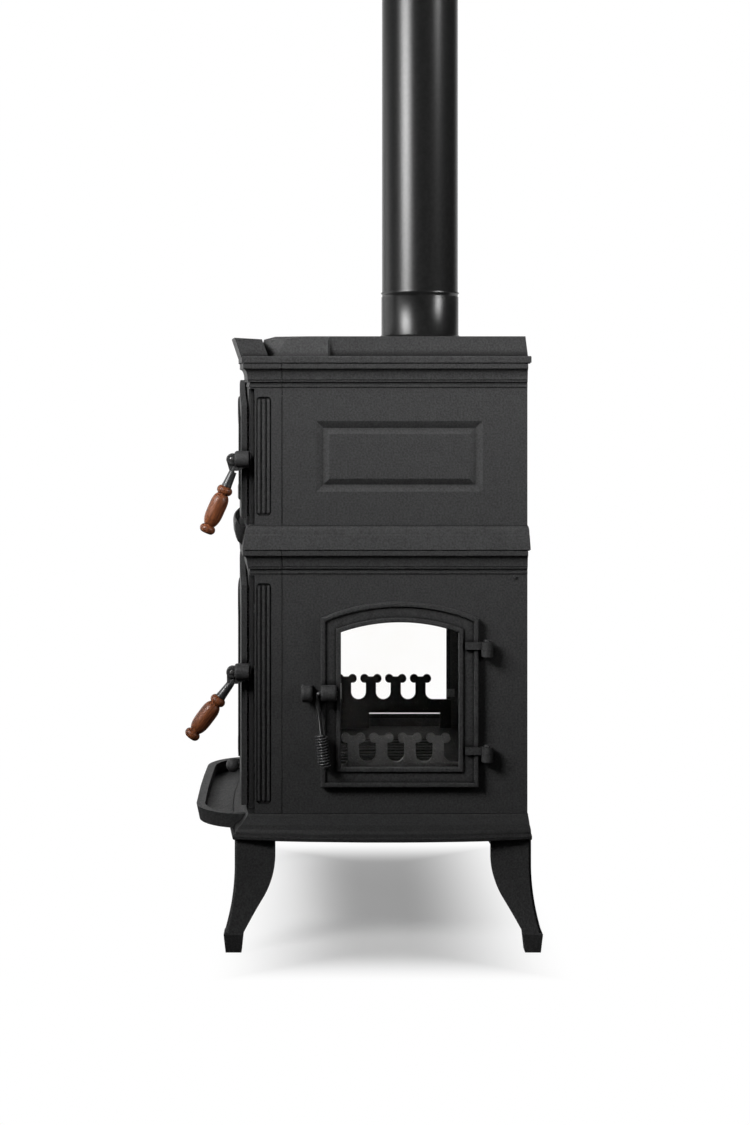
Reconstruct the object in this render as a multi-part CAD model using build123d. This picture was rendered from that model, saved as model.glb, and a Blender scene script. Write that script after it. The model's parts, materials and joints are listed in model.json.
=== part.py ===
from build123d import *
import math
import os

# Wood burning stove of cast iron, in millimetres. +Z is up, the front faces -Y and the
# side with the loading door faces +X. The pieces are placed about the middle of the body
# and are moved at the end so that the origin lies under the middle of the whole stove.

# Body castings
body_width = 480.0
body_depth = 440.0
wall = 8.0
front_bow_radius = 2200.0
return_depth = 50.0
seam_gap = 1.2
shadow_gap = 1.4
shadow_depth = 4.0
fit = 0.3
running = 0.06

# Heights of the storeys
leg_height = 174.0
base_height = 36.0
lower_height = 417.0
shelf_height = 40.0
upper_height = 256.0
rim_height = 12.0
plateau_height = 32.0

# Mouldings: how far they stand out
base_overhang = 29.5
base_side_bow = 19.0
base_rear_overhang = 4.0
cornice_height = 38.0
cornice_overhang = 12.0
shelf_overhang = 13.0
rim_overhang = 14.0
crown_lean = 11.0
crown_depth = 43.0
crown_root = 3.5
shelf_lip_margin = 19.0
shelf_lip_profile = ((0, 4), (10, 4), (14, 9), (18.5, 13), (22, 26), (23, 38), (22, 44.5), (20, 46.5),
                     (18, 45), (16.5, 40), (13, 36), (0, 36))

# Legs
leg_width = 64.0
leg_wall = 9.0
leg_splay = 15.5
leg_chamfer = 4.0
foot_height = 29.0
foot_spread = 2.0
leg_inset = 6.0
leg_rear_inset = 0.5
ankle_width = 13.4
leg_lug = 46.0
leg_lug_thickness = 10.0
leg_bolt_radius = 5.0

# Ash lip
lip_half_width = 223.0
lip_reach = 88.0
lip_bow = 4.0
lip_rim = 9.0
lip_height = 24.0
lip_floor = 5.0
lip_corner = 78.0
lip_drop = 4.0
lip_draft = 12.0

# Fluted recesses beside the doors
flute_count = 3
flute_width = 23.5
flute_depth = 3.0
flute_radius = 3.6
flute_corner = 6.0
flute_middle = 21.7
flute_margin = 14.5
flute_set_back = 0.5

# Fielded panel of the upper sides
field_length = 264.0
field_height = 112.0
field_bevel = 11.0
field_inner_bevel = 9.5
field_depth = 5.0
side_feature_y = 17.0

# Loading door on the right side
side_door_width = 250.0
side_door_sill = 43.0
side_door_straight = 267.0
side_door_rise = 26.0
side_door_thickness = 7.0
bead_width = 8.0
bead_height = 3.5
side_glass_inset = 32.0
side_opening_inset = 18.5
door_gap = 3.0
door_clearance = 2.5
glass_thickness = 4.0
glass_lap = 7.0
gasket_width = 8.0
gasket_sink = 1.5

# Left window
window_sill = 72.5

# Hinges of the loading door
side_hinge_reach = 13.0
side_hinge_out = 13.0
side_knuckle_radius = 9.5
side_knuckle_height = 11.0
side_strap_height = 12.0
side_strap_length = 22.0
side_strap_thickness = 6.0
side_hinge_pin_radius = 3.5
side_hinge_levels = (261.0, 95.0)
pin_head_height = 3.0

# Latch of the loading door
latch_height = 194.0
latch_out = 26.0
latch_boss_radius = 13.0
latch_boss_length = 25.0
keeper_radius = 14.0
keeper_length = 18.0
keeper_gap = 13.0
keeper_round = 5.0
latch_boss_round = 4.0
lever_radius = 3.6
lever_elbow = 5.5
lever_length = 119.0
lever_tilt = 6.3
coil_wire = 3.4
coil_outer_radius = 10.0
coil_pitch = 4.4
coil_turns = 11
coil_bush = 5.0

# Front doors
front_door_margin = 30.0
firebox_door_sill = 6.0
firebox_door_top = 400.0
oven_door_sill = 9.0
oven_door_top = 231.0
front_door_rise = 42.0
front_door_plate = 9.0
front_door_raise = 3.0
front_opening_inset = 14.0
firebox_glass_inset = 70.0
firebox_glass_sill = 92.0
raised_frame_width = 18.0
oven_field_inset = 46.0
post_rebate = 7.0
post_lap = 3.0
front_hinge_reach = 16.0
front_hinge_out = 13.0
front_knuckle_radius = 8.0
front_knuckle_height = 16.0
front_hinge_pin_radius = 4.0
firebox_hinge_levels = (320.0, 70.0)
oven_hinge_levels = (160.0, 40.0)

# Handles of the front doors
handle_inset = 19.0
ear_radius = 13.5
ear_thickness = 23.0
ear_round = 5.0
ear_skirt = 18.5
cam_thickness = 3.5
cam_gap = 6.0
spindle_radius = 5.0
eye_radius = 9.5
eye_width = 16.0
eye_flat = 3.0
eye_hole_radius = 2.5
neck_radius = 6.0
neck_length = 18.0
neck_offset = 9.0
ferrule_radius = 8.0
ferrule_top_radius = 6.2
ferrule_length = 26.0
grip_length = 82.0
grip_end_radius = 12.7
grip_belly_radius = 14.0
grip_waist_radius = 8.4
oven_handle_height = 103.7
oven_handle_tilt = 24.0
firebox_handle_height = 221.2
firebox_handle_tilt = 37.0

# Air control in the firebox door
air_rod_radius = 4.0
air_rod_height = 27.0
air_knob_radius = 12.0
air_knob_out = 13.5
air_travel = 18.0
air_plate_width = 60.0
air_plate_height = 30.0
air_plate_drop = 5.0
air_plate_thickness = 4.0
air_hole_radius = 4.8
air_hole_spread = 14.0

# Firebox inside
floor_height = 34.0
floor_thickness = 18.0
floor_foot = 24.0
floor_clearance = 2.0
floor_front = 40.0
grate_width = 260.0
grate_depth = 250.0
grate_ledge = 8.0
grate_thickness = 12.0
grate_slots = 9
grate_slot_width = 11.0
pan_width = 300.0
pan_depth = 300.0
pan_height = 26.0
pan_wall = 2.0
guard_pitch = 45.4
guard_fingers = 4
guard_lead = 11.0
guard_start = 67.0
guard_end = 130.0
left_guard_shift = 6.0
left_guard_front_foot = 53.0
left_guard_rear_foot = 20.0
guard_thickness = 9.0
guard_inset = 24.0
guard_bar = 24.0
guard_finger_height = 46.0
guard_stem = 18.5
guard_lobe = 7.6
guard_lobe_spread = 11.8
right_guard_lift = 0.0
left_guard_lift = 28.0
liner_thickness = 12.0
liner_clearance = 1.0
liner_rib_pitch = 42.0
liner_rib_depth = 5.0
baffle_height = 345.0
baffle_thickness = 12.0
baffle_front_gap = 60.0
ledge_depth = 14.0
ledge_height = 8.0

# Oven
oven_wall = 4.0
oven_lap = 2.0
oven_depth = 300.0
oven_front_gap = 12.0
oven_runner = 14.0
oven_clear_height = 190.0
rack_level = 80.0
rack_bar_radius = 3.0
rack_bars = 11

# Smoke way, flue and tie rods
smoke_width = 220.0
smoke_depth = 60.0
flue_y = 62.0
flue_radius = 65.0
flue_wall = 2.0
flue_length = 750.0
collar_height = 73.0
collar_radius = 66.0
collar_bore = 59.0
collar_flange_radius = 84.0
collar_flange = 4.0
spigot_length = 40.0
bead_ring = 2.2
tie_radius = 5.0
tie_inset = 26.0
tie_nut_radius = 9.0
tie_nut_height = 8.0
screw_radius = 3.5
screw_height = 2.5
screw_drop = 4.5
screw_inset = 20.0

# Plateau on the top
plateau_inset = 4.0
plateau_front = 14.0
plateau_rear = 3.0
plateau_lean = 14.0
plateau_ease = 5.0
plateau_block = 110.0
plateau_corner = 4.0

# Clips of the panes
clip_length = 14.0
clip_height = 14.0
clip_thickness = 2.0
clip_gap = 0.5

# Levels worked out from the storeys
z_base = leg_height
z_lower = z_base + base_height
z_shelf = z_lower + lower_height
z_upper = z_shelf + shelf_height
z_top = z_upper + upper_height
z_rim = z_top + rim_height
z_plateau = z_rim + plateau_height
half_width = body_width / 2
half_depth = body_depth / 2
front_door_width = body_width - 2 * front_door_margin
handle_x = half_width - handle_inset
oven_width = front_door_width - 2 * front_opening_inset + 2 * (oven_wall + oven_lap)
liner_height = baffle_height - floor_height - floor_thickness - liner_clearance
bow_centre_y = -half_depth + math.sqrt(front_bow_radius ** 2 - half_width ** 2)
seam_y = -half_depth + return_depth
side_plane = half_width
deep = 5 * body_depth

FRONT = Plane(origin=(0, 0, 0), x_dir=(1, 0, 0), z_dir=(0, -1, 0))
RIGHT = Plane(origin=(0, 0, 0), x_dir=(0, 1, 0), z_dir=(1, 0, 0))

parts = {}


def block(x_span, y_span, z_span):
    """Plain prism between two limits on each axis."""
    size = [high - low for low, high in (x_span, y_span, z_span)]
    middle = [(high + low) / 2 for low, high in (x_span, y_span, z_span)]
    return Pos(*middle) * Box(*size)


def rod(start, end, radius):
    """Round bar from one point to another."""
    line = Vector(end) - Vector(start)
    plane = Plane(origin=start, z_dir=line)
    return extrude(plane * Circle(radius), amount=line.length)


def bow_y(offset, x=0.0):
    """Y of the bowed front face, moved out by offset, at the place x across the front."""
    return bow_centre_y - math.sqrt((front_bow_radius + offset) ** 2 - x ** 2)


def plan(offset, rear_offset, side_bow=0.0):
    """Plan of the body: bowed front, straight or bowed sides and a straight back."""
    x = half_width + offset
    front = bow_y(offset, x)
    rear = half_depth + rear_offset
    middle = (front + rear) / 2
    bow = max(side_bow, 0.02)
    edges = [
        ThreePointArc((-x, front), (0, bow_y(offset)), (x, front)),
        ThreePointArc((x, front), (x + bow, middle), (x, rear)),
        Line((x, rear), (-x, rear)),
        ThreePointArc((-x, rear), (-x - bow, middle), (-x, front)),
    ]
    if side_bow == 0:
        edges[1] = Line((x, front), (x, rear))
        edges[3] = Line((-x, rear), (-x, front))
    return make_face(edges)


def moulded(profile, bow_share=0.0, rear_share=1.0):
    """Plate whose edge follows a profile of (height, overhang) steps all round."""
    steps = []
    for height, out in profile:
        steps.append(Pos(0, 0, height) * plan(out, out * rear_share, out * bow_share))
    return loft(steps, ruled=True)


def arch(width, bottom, spring, crown, inset=0.0):
    """Outline with straight sides under a segmental arch, drawn in by inset all round."""
    half = width / 2
    rise = crown - spring
    radius = (half ** 2 + rise ** 2) / (2 * rise)
    centre = crown - radius
    side = half - inset
    top = centre + math.sqrt((radius - inset) ** 2 - side ** 2)
    foot = bottom + inset
    edges = [
        Line((-side, foot), (side, foot)),
        Line((side, foot), (side, top)),
        ThreePointArc((side, top), (0, crown - inset), (-side, top)),
        Line((-side, top), (-side, foot)),
    ]
    return make_face(edges)


def bow_shell(inner, outer, low, high):
    """Bowed plate across the front between two offsets of the front face."""
    outside = Pos(0, bow_centre_y) * Circle(front_bow_radius + outer)
    inside = Pos(0, bow_centre_y) * Circle(front_bow_radius + inner)
    strip = Pos(0, -half_depth) * Rectangle(body_width * 1.2, body_depth)
    return extrude(Pos(0, 0, low) * ((outside - inside) & strip), amount=high - low)


def front_prism(outline):
    """An outline of the front elevation, run through the front of the stove."""
    return extrude(FRONT * outline, amount=deep)


def side_prism(outline, start, end):
    """An outline of the right side, between two distances from the middle."""
    return extrude(RIGHT.offset(start) * (Pos(side_feature_y, 0) * outline), amount=end - start)


def cornice_profile(top):
    """Crown moulding under a plate: fillet, cove, two beads and a fine bead."""
    low = top - cornice_height
    out = cornice_overhang
    cove_top = top - 0.22 * cornice_height
    cove_low = top - 0.58 * cornice_height
    steps = [(low, 0.0), (low + 1.2, 1.6), (low + 4.0, 1.6), (low + 5.2, 0.6)]
    steps += [(low + 8.4, 0.6), (low + 9.2, 3.6), (low + 11.2, 3.6), (low + 12.0, 2.8)]
    steps += [(low + 12.8, 4.4), (low + 15.0, 4.4)]
    for step in range(5):
        turn = math.radians(22.5 * step)
        height = cove_low + (cove_top - cove_low) * math.sin(turn)
        reach = 4.6 + (out - 5.4) * (1 - math.cos(turn))
        steps.append((height, reach))
    steps += [(cove_top + 0.4, out - 0.4), (cove_top + 1.4, out), (top, out)]
    return steps


def shadow_steps(low, out):
    """Foot of a moulded plate, drawn in to leave a dark joint above the casting below."""
    inner = out - shadow_depth
    return [(low, inner), (low + shadow_gap, inner), (low + shadow_gap + 0.2, out)]


def body_ring(low, high, top_moulding):
    """Outer skin of one storey with its crown moulding, before it is cut into castings."""
    solid = extrude(Pos(0, 0, low) * plan(0, 0), amount=high - low)
    return solid + top_moulding


def storey_core(low, high):
    """Space inside the walls of one storey."""
    return extrude(Pos(0, 0, low) * plan(-wall, -wall), amount=high - low)


def fluted_recess(low, high):
    """Cutter and reeds of the fluted recess on the right return of a front casting."""
    y = flute_middle - half_depth
    face = RIGHT.offset(half_width - flute_depth)
    outline = Pos(y, (low + high) / 2) * RectangleRounded(flute_width, high - low, flute_corner)
    cutter = extrude(face * outline, amount=2 * flute_depth)
    centre = half_width - flute_set_back - flute_radius
    pitch = flute_width / flute_count
    end = flute_corner
    reeds = []
    for index in range(flute_count):
        place = y + (index - (flute_count - 1) / 2) * pitch
        reeds.append(rod((centre, place, low + end), (centre, place, high - end), flute_radius))
        reeds.append(Pos(centre, place, low + end) * Sphere(flute_radius))
        reeds.append(Pos(centre, place, high - end) * Sphere(flute_radius))
    return cutter, reeds


def front_outline(sill, top, inset=0.0):
    """Arched outline of a front door, in the front elevation."""
    return arch(front_door_width, sill, top - front_door_rise, top, inset)


def side_outline(inset=0.0):
    """Arched outline of the loading door, in the side elevation."""
    sill = z_lower + side_door_sill
    spring = sill + side_door_straight
    return arch(side_door_width, sill, spring, spring + side_door_rise, inset)


def build_base():
    """Base casting with an ogee edge, hollow below between its corner pads."""
    rear_share = base_rear_overhang / base_overhang
    solid = moulded(base_steps(), base_side_bow / base_overhang, rear_share)
    pad = 2 * leg_lug
    hollow = Rectangle(body_width - 2 * wall, body_depth - 2 * wall)
    for corner in GridLocations(body_width - pad, body_depth - pad, 2, 2):
        hollow -= corner * Rectangle(pad, pad)
    solid -= extrude(Pos(0, 0, z_base) * hollow, amount=base_height - wall)
    for x, y in tie_places():
        solid -= rod((x, y, z_base), (x, y, z_lower), tie_radius + fit)
        solid -= rod((x, y, z_base), (x, y, z_lower - wall), tie_nut_radius + 1)
    for x, y in bolt_places():
        solid -= rod((x, y, z_base), (x, y, z_lower - wall), leg_bolt_radius + fit)
    parts["base"] = solid


def build_ash_lip():
    """Tray in front of the base that catches ash, with a raised rim."""
    top = z_lower - lip_drop
    front = -half_depth - lip_reach
    corner_y = front + lip_bow
    edges = [
        ThreePointArc((-lip_half_width, corner_y), (0, front), (lip_half_width, corner_y)),
        Line((lip_half_width, corner_y), (lip_half_width, -half_depth)),
        Line((lip_half_width, -half_depth), (-lip_half_width, -half_depth)),
        Line((-lip_half_width, -half_depth), (-lip_half_width, corner_y)),
    ]
    outline = make_face(edges)
    outline = fillet(outline.vertices().group_by(Axis.Y)[0], lip_corner)
    tray = extrude(Pos(0, 0, top - lip_height) * outline, amount=lip_height, taper=-lip_draft)
    hollow = offset(outline, -lip_rim)
    rear = Pos(0, -half_depth) * Rectangle(2 * (lip_half_width - lip_rim), 3 * lip_rim)
    tray -= extrude(Pos(0, 0, top - lip_height + lip_floor) * (hollow + rear), amount=lip_height)
    parts["ash_lip"] = tray - seat_of_base()


def seat_of_base():
    """The base with a small clearance, which the ash lip is fitted to."""
    grown = []
    for height, out in base_steps():
        grown.append((height, out + fit))
    return moulded(grown, base_side_bow / base_overhang, 1.0)


def base_steps():
    """Steps of the base moulding, from its foot up."""
    low = z_base
    out = base_overhang
    steps = [(low, out - 2.5), (low + 2, out), (low + 6.5, out), (low + 8.5, out - 2.5)]
    steps += [(low + 9.5, out - 5.5), (low + 12, out - 6), (low + 16, out - 8)]
    steps += [(low + 19, out - 12), (low + 21, out - 15), (low + 23, out - 16.5)]
    steps += [(low + 25, out - 17.5), (low + 33, out - 24.5), (z_lower, out - 26)]
    return steps


def tie_places():
    """Where the four tie rods stand, inside the corners of the body."""
    x = half_width - tie_inset
    return [(sx * x, sy * (half_depth - tie_inset)) for sx in (-1, 1) for sy in (-1, 1)]


def bolt_places():
    """Where each leg is bolted up to the base."""
    x = leg_corner_x() - leg_lug / 2 - leg_wall / 2
    front = leg_front_y() + leg_lug / 2 + leg_wall / 2
    rear = leg_rear_y() - leg_lug / 2 - leg_wall / 2
    return [(sx * x, y) for sx in (-1, 1) for y in (front, rear)]


def leg_corner_x():
    """Distance of a leg's outer corner from the middle of the stove."""
    return half_width + base_overhang - leg_inset


def leg_front_y():
    """Y of a front leg's outer corner."""
    return -half_depth - base_overhang + leg_inset


def leg_rear_y():
    """Y of a rear leg's outer corner."""
    return half_depth + base_rear_overhang - leg_rear_inset


def leg_outline():
    """Side view of a leg, inwards from its outer corner, above the foot."""
    top = leg_height
    shoulder = 0.86 * top
    knee = (0.70 * leg_width, 0.475 * top)
    ankle = ankle_width
    hip = 0.78 * top
    first = TangentArc((leg_width, shoulder), knee, tangent=(0, -1))
    second = TangentArc(knee, (ankle, foot_height), tangent=first % 1)
    edges = [
        Line((0, top), (leg_width, top)),
        Line((leg_width, top), (leg_width, shoulder)),
        first,
        second,
        Line((ankle, foot_height), (-leg_splay, foot_height)),
        TangentArc((0, hip), (-leg_splay, foot_height), tangent=(0, -1)),
        Line((0, hip), (0, top)),
    ]
    return make_face(edges)


def on_outer_corner(edge):
    """Whether an edge of a leg runs down its outer corner."""
    middle = edge @ 0.5
    return abs(middle.X - middle.Y) < fit and middle.X < leg_wall and (edge @ 0 - edge @ 1).Z != 0


def build_legs():
    """Corner legs of angle section that splay out to square feet."""
    reach = 2 * leg_width
    outline = leg_outline()
    across = extrude(Plane((0, -leg_width, 0), x_dir=(1, 0, 0), z_dir=(0, -1, 0)) * outline,
                     amount=-reach)
    along = extrude(Plane((-leg_width, 0, 0), x_dir=(0, 1, 0), z_dir=(1, 0, 0)) * outline,
                    amount=reach)
    outer = across & along
    corner = [edge for edge in outer.edges() if on_outer_corner(edge)]
    leg = chamfer(corner, leg_chamfer)
    leg -= Pos(leg_wall, 0, 0) * across & Pos(0, leg_wall, 0) * along
    ankle = ankle_width
    middle = (ankle - leg_splay) / 2
    sole = Rectangle(ankle + leg_splay - 2 * foot_spread, ankle + leg_splay - 2 * foot_spread)
    pad = Rectangle(ankle + leg_splay + foot_spread, ankle + leg_splay + foot_spread)
    neck = Rectangle(ankle + leg_splay, ankle + leg_splay)
    steps = [(0, sole), (foot_height, pad), (foot_height + foot_spread, neck)]
    leg += loft([Pos(middle, middle, z) * face for z, face in steps], ruled=True)
    span = (leg_wall / 2, leg_wall + leg_lug)
    leg += block(span, span, (leg_height - leg_lug_thickness, leg_height))
    hole = leg_lug / 2 + leg_wall / 2
    leg -= rod((hole, hole, 0.5 * leg_height), (hole, hole, leg_height), leg_bolt_radius + fit)
    front_left = Pos(-leg_corner_x(), leg_front_y(), 0) * leg
    rear_left = Pos(-leg_corner_x(), leg_rear_y(), 0) * mirror(leg, about=Plane.XZ)
    parts["leg_front_left"] = front_left
    parts["leg_front_right"] = mirror(front_left, about=Plane.YZ)
    parts["leg_rear_left"] = rear_left
    parts["leg_rear_right"] = mirror(rear_left, about=Plane.YZ)
    bolts = []
    for x, y in bolt_places():
        seat = leg_height - leg_lug_thickness
        head = extrude(Pos(x, y, seat - leg_bolt_radius) * RegularPolygon(1.8 * leg_bolt_radius, 6),
                       amount=leg_bolt_radius)
        bolts.append(head + rod((x, y, seat), (x, y, z_lower - wall - fit), leg_bolt_radius))
    parts["leg_bolts"] = Compound(bolts)


def build_front_frame(name, low, high, sill, top, hinge_levels):
    """Bowed front casting of one storey: door opening, flutes, hinge lugs and a rebate for the handle."""
    moulding = moulded(cornice_profile(high)) - front_prism(front_outline(sill, top, -door_clearance))
    ring = body_ring(low, high, moulding)
    front = block((-deep, deep), (-deep, seam_y), (low, high))
    solid = (ring - storey_core(low, high)) & front
    solid -= front_prism(front_outline(sill, top, front_opening_inset)) & front
    cutter, reeds = fluted_recess(low + flute_margin, high - cornice_height - flute_margin)
    solid -= [cutter, mirror(cutter, about=Plane.YZ)]
    solid += reeds + [mirror(reed, about=Plane.YZ) for reed in reeds]
    edge = front_door_width / 2 - post_lap
    face = post_rebate - half_depth
    solid += block((edge - wall, half_width - wall / 2), (face - 1, face + wall), (low, high))
    solid -= block((edge, deep), (-deep, face), (low, high - cornice_height - 2))
    x, y = front_hinge_axis()
    for level in hinge_levels:
        solid += frame_lug(x, y, low + level)
    parts[name] = solid


def front_hinge_axis():
    """Place of the upright hinge axis of both front doors."""
    x = -front_door_width / 2 - front_hinge_reach
    return x, bow_y(front_hinge_out, x)


def frame_lug(x, y, z):
    """Hinge lug on a front casting, under the door's own lug."""
    knuckle = rod((x, y, z - front_knuckle_height), (x, y, z), front_knuckle_radius)
    web = block((x - front_knuckle_radius / 2, x + front_knuckle_radius / 2),
                (y, bow_y(-wall / 2, x)), (z - front_knuckle_height, z))
    bore = rod((x, y, z - front_knuckle_height), (x, y, z), front_hinge_pin_radius + running)
    return knuckle + web - bore


def hinge_pin(x, y, low, high, radius, head):
    """Hinge pin with a domed head on top."""
    pin = rod((x, y, low), (x, y, high + fit), radius)
    cap = rod((x, y, high + fit), (x, y, high + fit + pin_head_height), head)
    return pin + fillet(cap.edges().sort_by(Axis.Z)[-1], 0.6 * pin_head_height)


def build_front_hinge_pins(name, low, levels):
    """Loose pins that join the lugs of a front door to those of its frame."""
    x, y = front_hinge_axis()
    pins = []
    for level in levels:
        z = low + level
        top = z + fit + front_knuckle_height
        pins.append(hinge_pin(x, y, z - front_knuckle_height, top, front_hinge_pin_radius,
                              front_knuckle_radius * 0.8))
    parts[name] = Compound(pins)


def front_door_plate_solid(low, sill, top, hinge_levels, handle_z):
    """Bowed door plate with its hinge lugs and the ear that carries the handle."""
    inner = door_gap
    outer = door_gap + front_door_plate
    shell = bow_shell(inner, outer, low, top + 1)
    solid = shell & front_prism(front_outline(sill, top))
    x, y = front_hinge_axis()
    edge = -front_door_width / 2
    for level in hinge_levels:
        z = low + level + fit
        knuckle = rod((x, y, z), (x, y, z + front_knuckle_height), front_knuckle_radius)
        arm = bow_shell(inner + 1, outer + 2, z, z + front_knuckle_height)
        arm &= block((x, edge + 2 * front_knuckle_radius), (-deep, 0), (z, z + front_knuckle_height))
        solid += knuckle + arm
        solid -= rod((x, y, z), (x, y, z + front_knuckle_height), front_hinge_pin_radius + running)
    return solid + handle_ear(handle_z) - spindle_bore(handle_z)


def spindle_bore(z):
    """Hole through the ear for the spindle of a handle."""
    rear, front = ear_faces()
    return rod((handle_x, rear, z), (handle_x, front, z), spindle_radius + running)


def handle_ear(z):
    """Boss on the free edge of a front door that carries the handle, with a skirt below."""
    rear, front = ear_faces()
    boss = rod((handle_x, rear, z), (handle_x, front, z), ear_radius)
    boss = fillet(boss.edges().filter_by(GeomType.CIRCLE).sort_by(Axis.Y)[0], ear_round)
    edge = front_door_width / 2
    back = bow_y(door_gap, edge)
    bridge = block((edge - ear_radius, handle_x), (front + ear_round, back),
                   (z - 0.8 * ear_radius, z + 0.8 * ear_radius))
    points = [(front, z - 0.4 * ear_radius), (front, z - ear_skirt), (front + ear_round, z - ear_skirt),
              (back, z - 0.95 * ear_radius), (back, z - 0.4 * ear_radius)]
    outline = make_face(Polyline(*points, close=True))
    skirt = extrude(RIGHT.offset(handle_x - spindle_radius) * outline, amount=2 * spindle_radius)
    return [boss, bridge, skirt]


def ear_faces():
    """Y of the rear and front faces of the ear that carries a handle."""
    rear = post_rebate - half_depth - cam_gap - cam_thickness - fit
    return rear, rear - ear_thickness


def build_firebox_door():
    """Glazed firebox door with a raised frame, an air disc seat and its pane and seals."""
    low = z_lower
    sill = low + firebox_door_sill
    top = low + firebox_door_top
    face = door_gap + front_door_plate
    handle_z = low + firebox_handle_height
    solid = front_door_plate_solid(low, sill, top, firebox_hinge_levels, handle_z)
    window = firebox_window(0)
    frame = bow_shell(face - 1, face + front_door_raise, low, top)
    frame &= front_prism(firebox_window(-raised_frame_width))
    solid += frame
    solid -= front_prism(window)
    rebate = bow_shell(door_gap - 1, door_gap + glass_thickness, low, top)
    rebate &= front_prism(firebox_window(-glass_lap - fit))
    solid -= rebate
    groove = gasket_ring(door_gap - 1, door_gap + gasket_sink, sill, top)
    solid -= groove
    rod_z = low + air_rod_height
    solid -= rod((0, 0, rod_z), (0, -deep, rod_z), air_rod_radius + running)
    hole_z = rod_z + air_plate_height - air_plate_drop - 2 * air_hole_radius
    for x in (-air_hole_spread, air_hole_spread):
        solid -= rod((x, 0, hole_z), (x, -deep, hole_z), air_hole_radius)
    parts["firebox_door"] = solid
    pane = bow_shell(door_gap + fit / 3, door_gap + glass_thickness, low, top)
    parts["firebox_door_glass"] = pane & front_prism(firebox_window(-glass_lap))
    parts["firebox_door_gasket"] = gasket_ring(fit + 0.2, door_gap + gasket_sink, sill, top, fit / 3)
    build_firebox_clips(low, top)


def firebox_window(inset):
    """Outline of the glass opening in the firebox door."""
    low = z_lower
    width = front_door_width - 2 * firebox_glass_inset
    sill = low + firebox_glass_sill
    top = low + firebox_door_top - firebox_glass_inset
    return arch(width, sill, top - 0.7 * front_door_rise, top, inset)


def gasket_ring(inner, outer, sill, top, slack=0.0):
    """Rope seal round the back of a front door, just outside the opening in the frame."""
    margin = (front_opening_inset - gasket_width) / 2
    ring = front_prism(front_outline(sill, top, margin + slack))
    ring -= front_prism(front_outline(sill, top, margin + gasket_width - slack))
    return bow_shell(inner, outer, sill - 1, top + 1) & ring


def build_firebox_clips(low, top):
    """Four clips that hold the firebox pane from behind."""
    half = front_door_width / 2 - firebox_glass_inset
    clips = []
    for side in (-1, 1):
        for level in (0.3, 0.75):
            z = low + firebox_glass_sill + level * (firebox_door_top - firebox_glass_sill) * 0.8
            x = side * (half + clip_gap + clip_length)
            outline = Pos(x, z) * Rectangle(2 * clip_length, clip_height)
            clip = bow_shell(door_gap - clip_thickness, door_gap, low, top) & front_prism(outline)
            clips.append(clip)
    parts["firebox_door_clips"] = Compound(clips)


def build_oven_door():
    """Cast oven door with a raised frame round a sunk field."""
    low = z_upper
    sill = low + oven_door_sill
    top = low + oven_door_top
    face = door_gap + front_door_plate
    solid = front_door_plate_solid(low, sill, top, oven_hinge_levels, low + oven_handle_height)
    outer_frame = front_outline(sill, top, oven_field_inset - raised_frame_width)
    inner_frame = front_outline(sill, top, oven_field_inset)
    raised = front_prism(outer_frame) - front_prism(inner_frame)
    solid += bow_shell(face - 1, face + front_door_raise, low, top + 1) & raised
    field = front_outline(sill, top, oven_field_inset + raised_frame_width)
    solid += bow_shell(face - 1, face + 0.6 * front_door_raise, low, top + 1) & front_prism(field)
    solid -= gasket_ring(door_gap - 1, door_gap + gasket_sink, sill, top)
    parts["oven_door"] = solid
    parts["oven_door_gasket"] = gasket_ring(fit + 0.2, door_gap + gasket_sink, sill, top, fit / 3)


def build_handle(prefix, z, tilt):
    """Door handle: spindle with an eye and a neck, a ferrule, a turned grip and a cam."""
    rear, front = ear_faces()
    seat = front - fit
    eye_y = seat - eye_flat
    eye = rod((handle_x - eye_width / 2, eye_y, z), (handle_x + eye_width / 2, eye_y, z), eye_radius)
    lever = fillet(eye.edges().filter_by(GeomType.CIRCLE), 0.25 * eye_radius)
    lean = math.radians(tilt)
    line = Vector(0, -math.sin(lean), -math.cos(lean))
    across = Vector(0, math.cos(lean), -math.sin(lean))
    centre = Vector(handle_x, eye_y, z)
    start = centre + across * neck_offset
    socket = start + line * neck_length
    lever += rod(start + line * neck_radius, socket, neck_radius)
    left = socket - across * neck_radius
    right = socket + across * neck_radius
    points = [(eye_y, z), (eye_y - 0.9 * eye_radius, z - 0.4 * eye_radius), (left.Y, left.Z),
              (right.Y, right.Z), (start.Y, start.Z)]
    web = make_face(Polyline(*points, close=True))
    lever += extrude(RIGHT.offset(handle_x - spindle_radius) * web, amount=2 * spindle_radius)
    lever -= block((-deep, deep), (seat, deep), (0, deep))
    lever += rod((handle_x, rear + fit, z), centre, spindle_radius)
    lever -= rod((handle_x - deep, eye_y, z), (handle_x + deep, eye_y, z), eye_hole_radius)
    parts[prefix + "_lever"] = lever
    axis_plane = Plane(origin=socket, x_dir=(1, 0, 0), z_dir=line)
    parts[prefix + "_ferrule"] = axis_plane * ferrule()
    grip_plane = Plane(origin=socket + line * ferrule_length, x_dir=(1, 0, 0), z_dir=line)
    parts[prefix + "_grip"] = grip_plane * grip()
    cam_rear = rear + fit + cam_thickness
    cam = extrude(Plane((handle_x, cam_rear, z), x_dir=(1, 0, 0), z_dir=(0, -1, 0))
                  * (Circle(1.8 * spindle_radius) + Pos(0, spindle_radius) * Rectangle(
                      1.6 * spindle_radius, 3 * spindle_radius)), amount=cam_thickness)
    parts[prefix + "_cam"] = cam


def turned(points):
    """Solid turned about its own Z axis from a profile of (height, radius) points."""
    outline = [(0, points[0][0])]
    outline += [(radius, height) for height, radius in points]
    outline += [(0, points[-1][0])]
    return revolve(Plane.XZ * make_face(Polyline(*outline, close=True)), Axis.Z)


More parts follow.
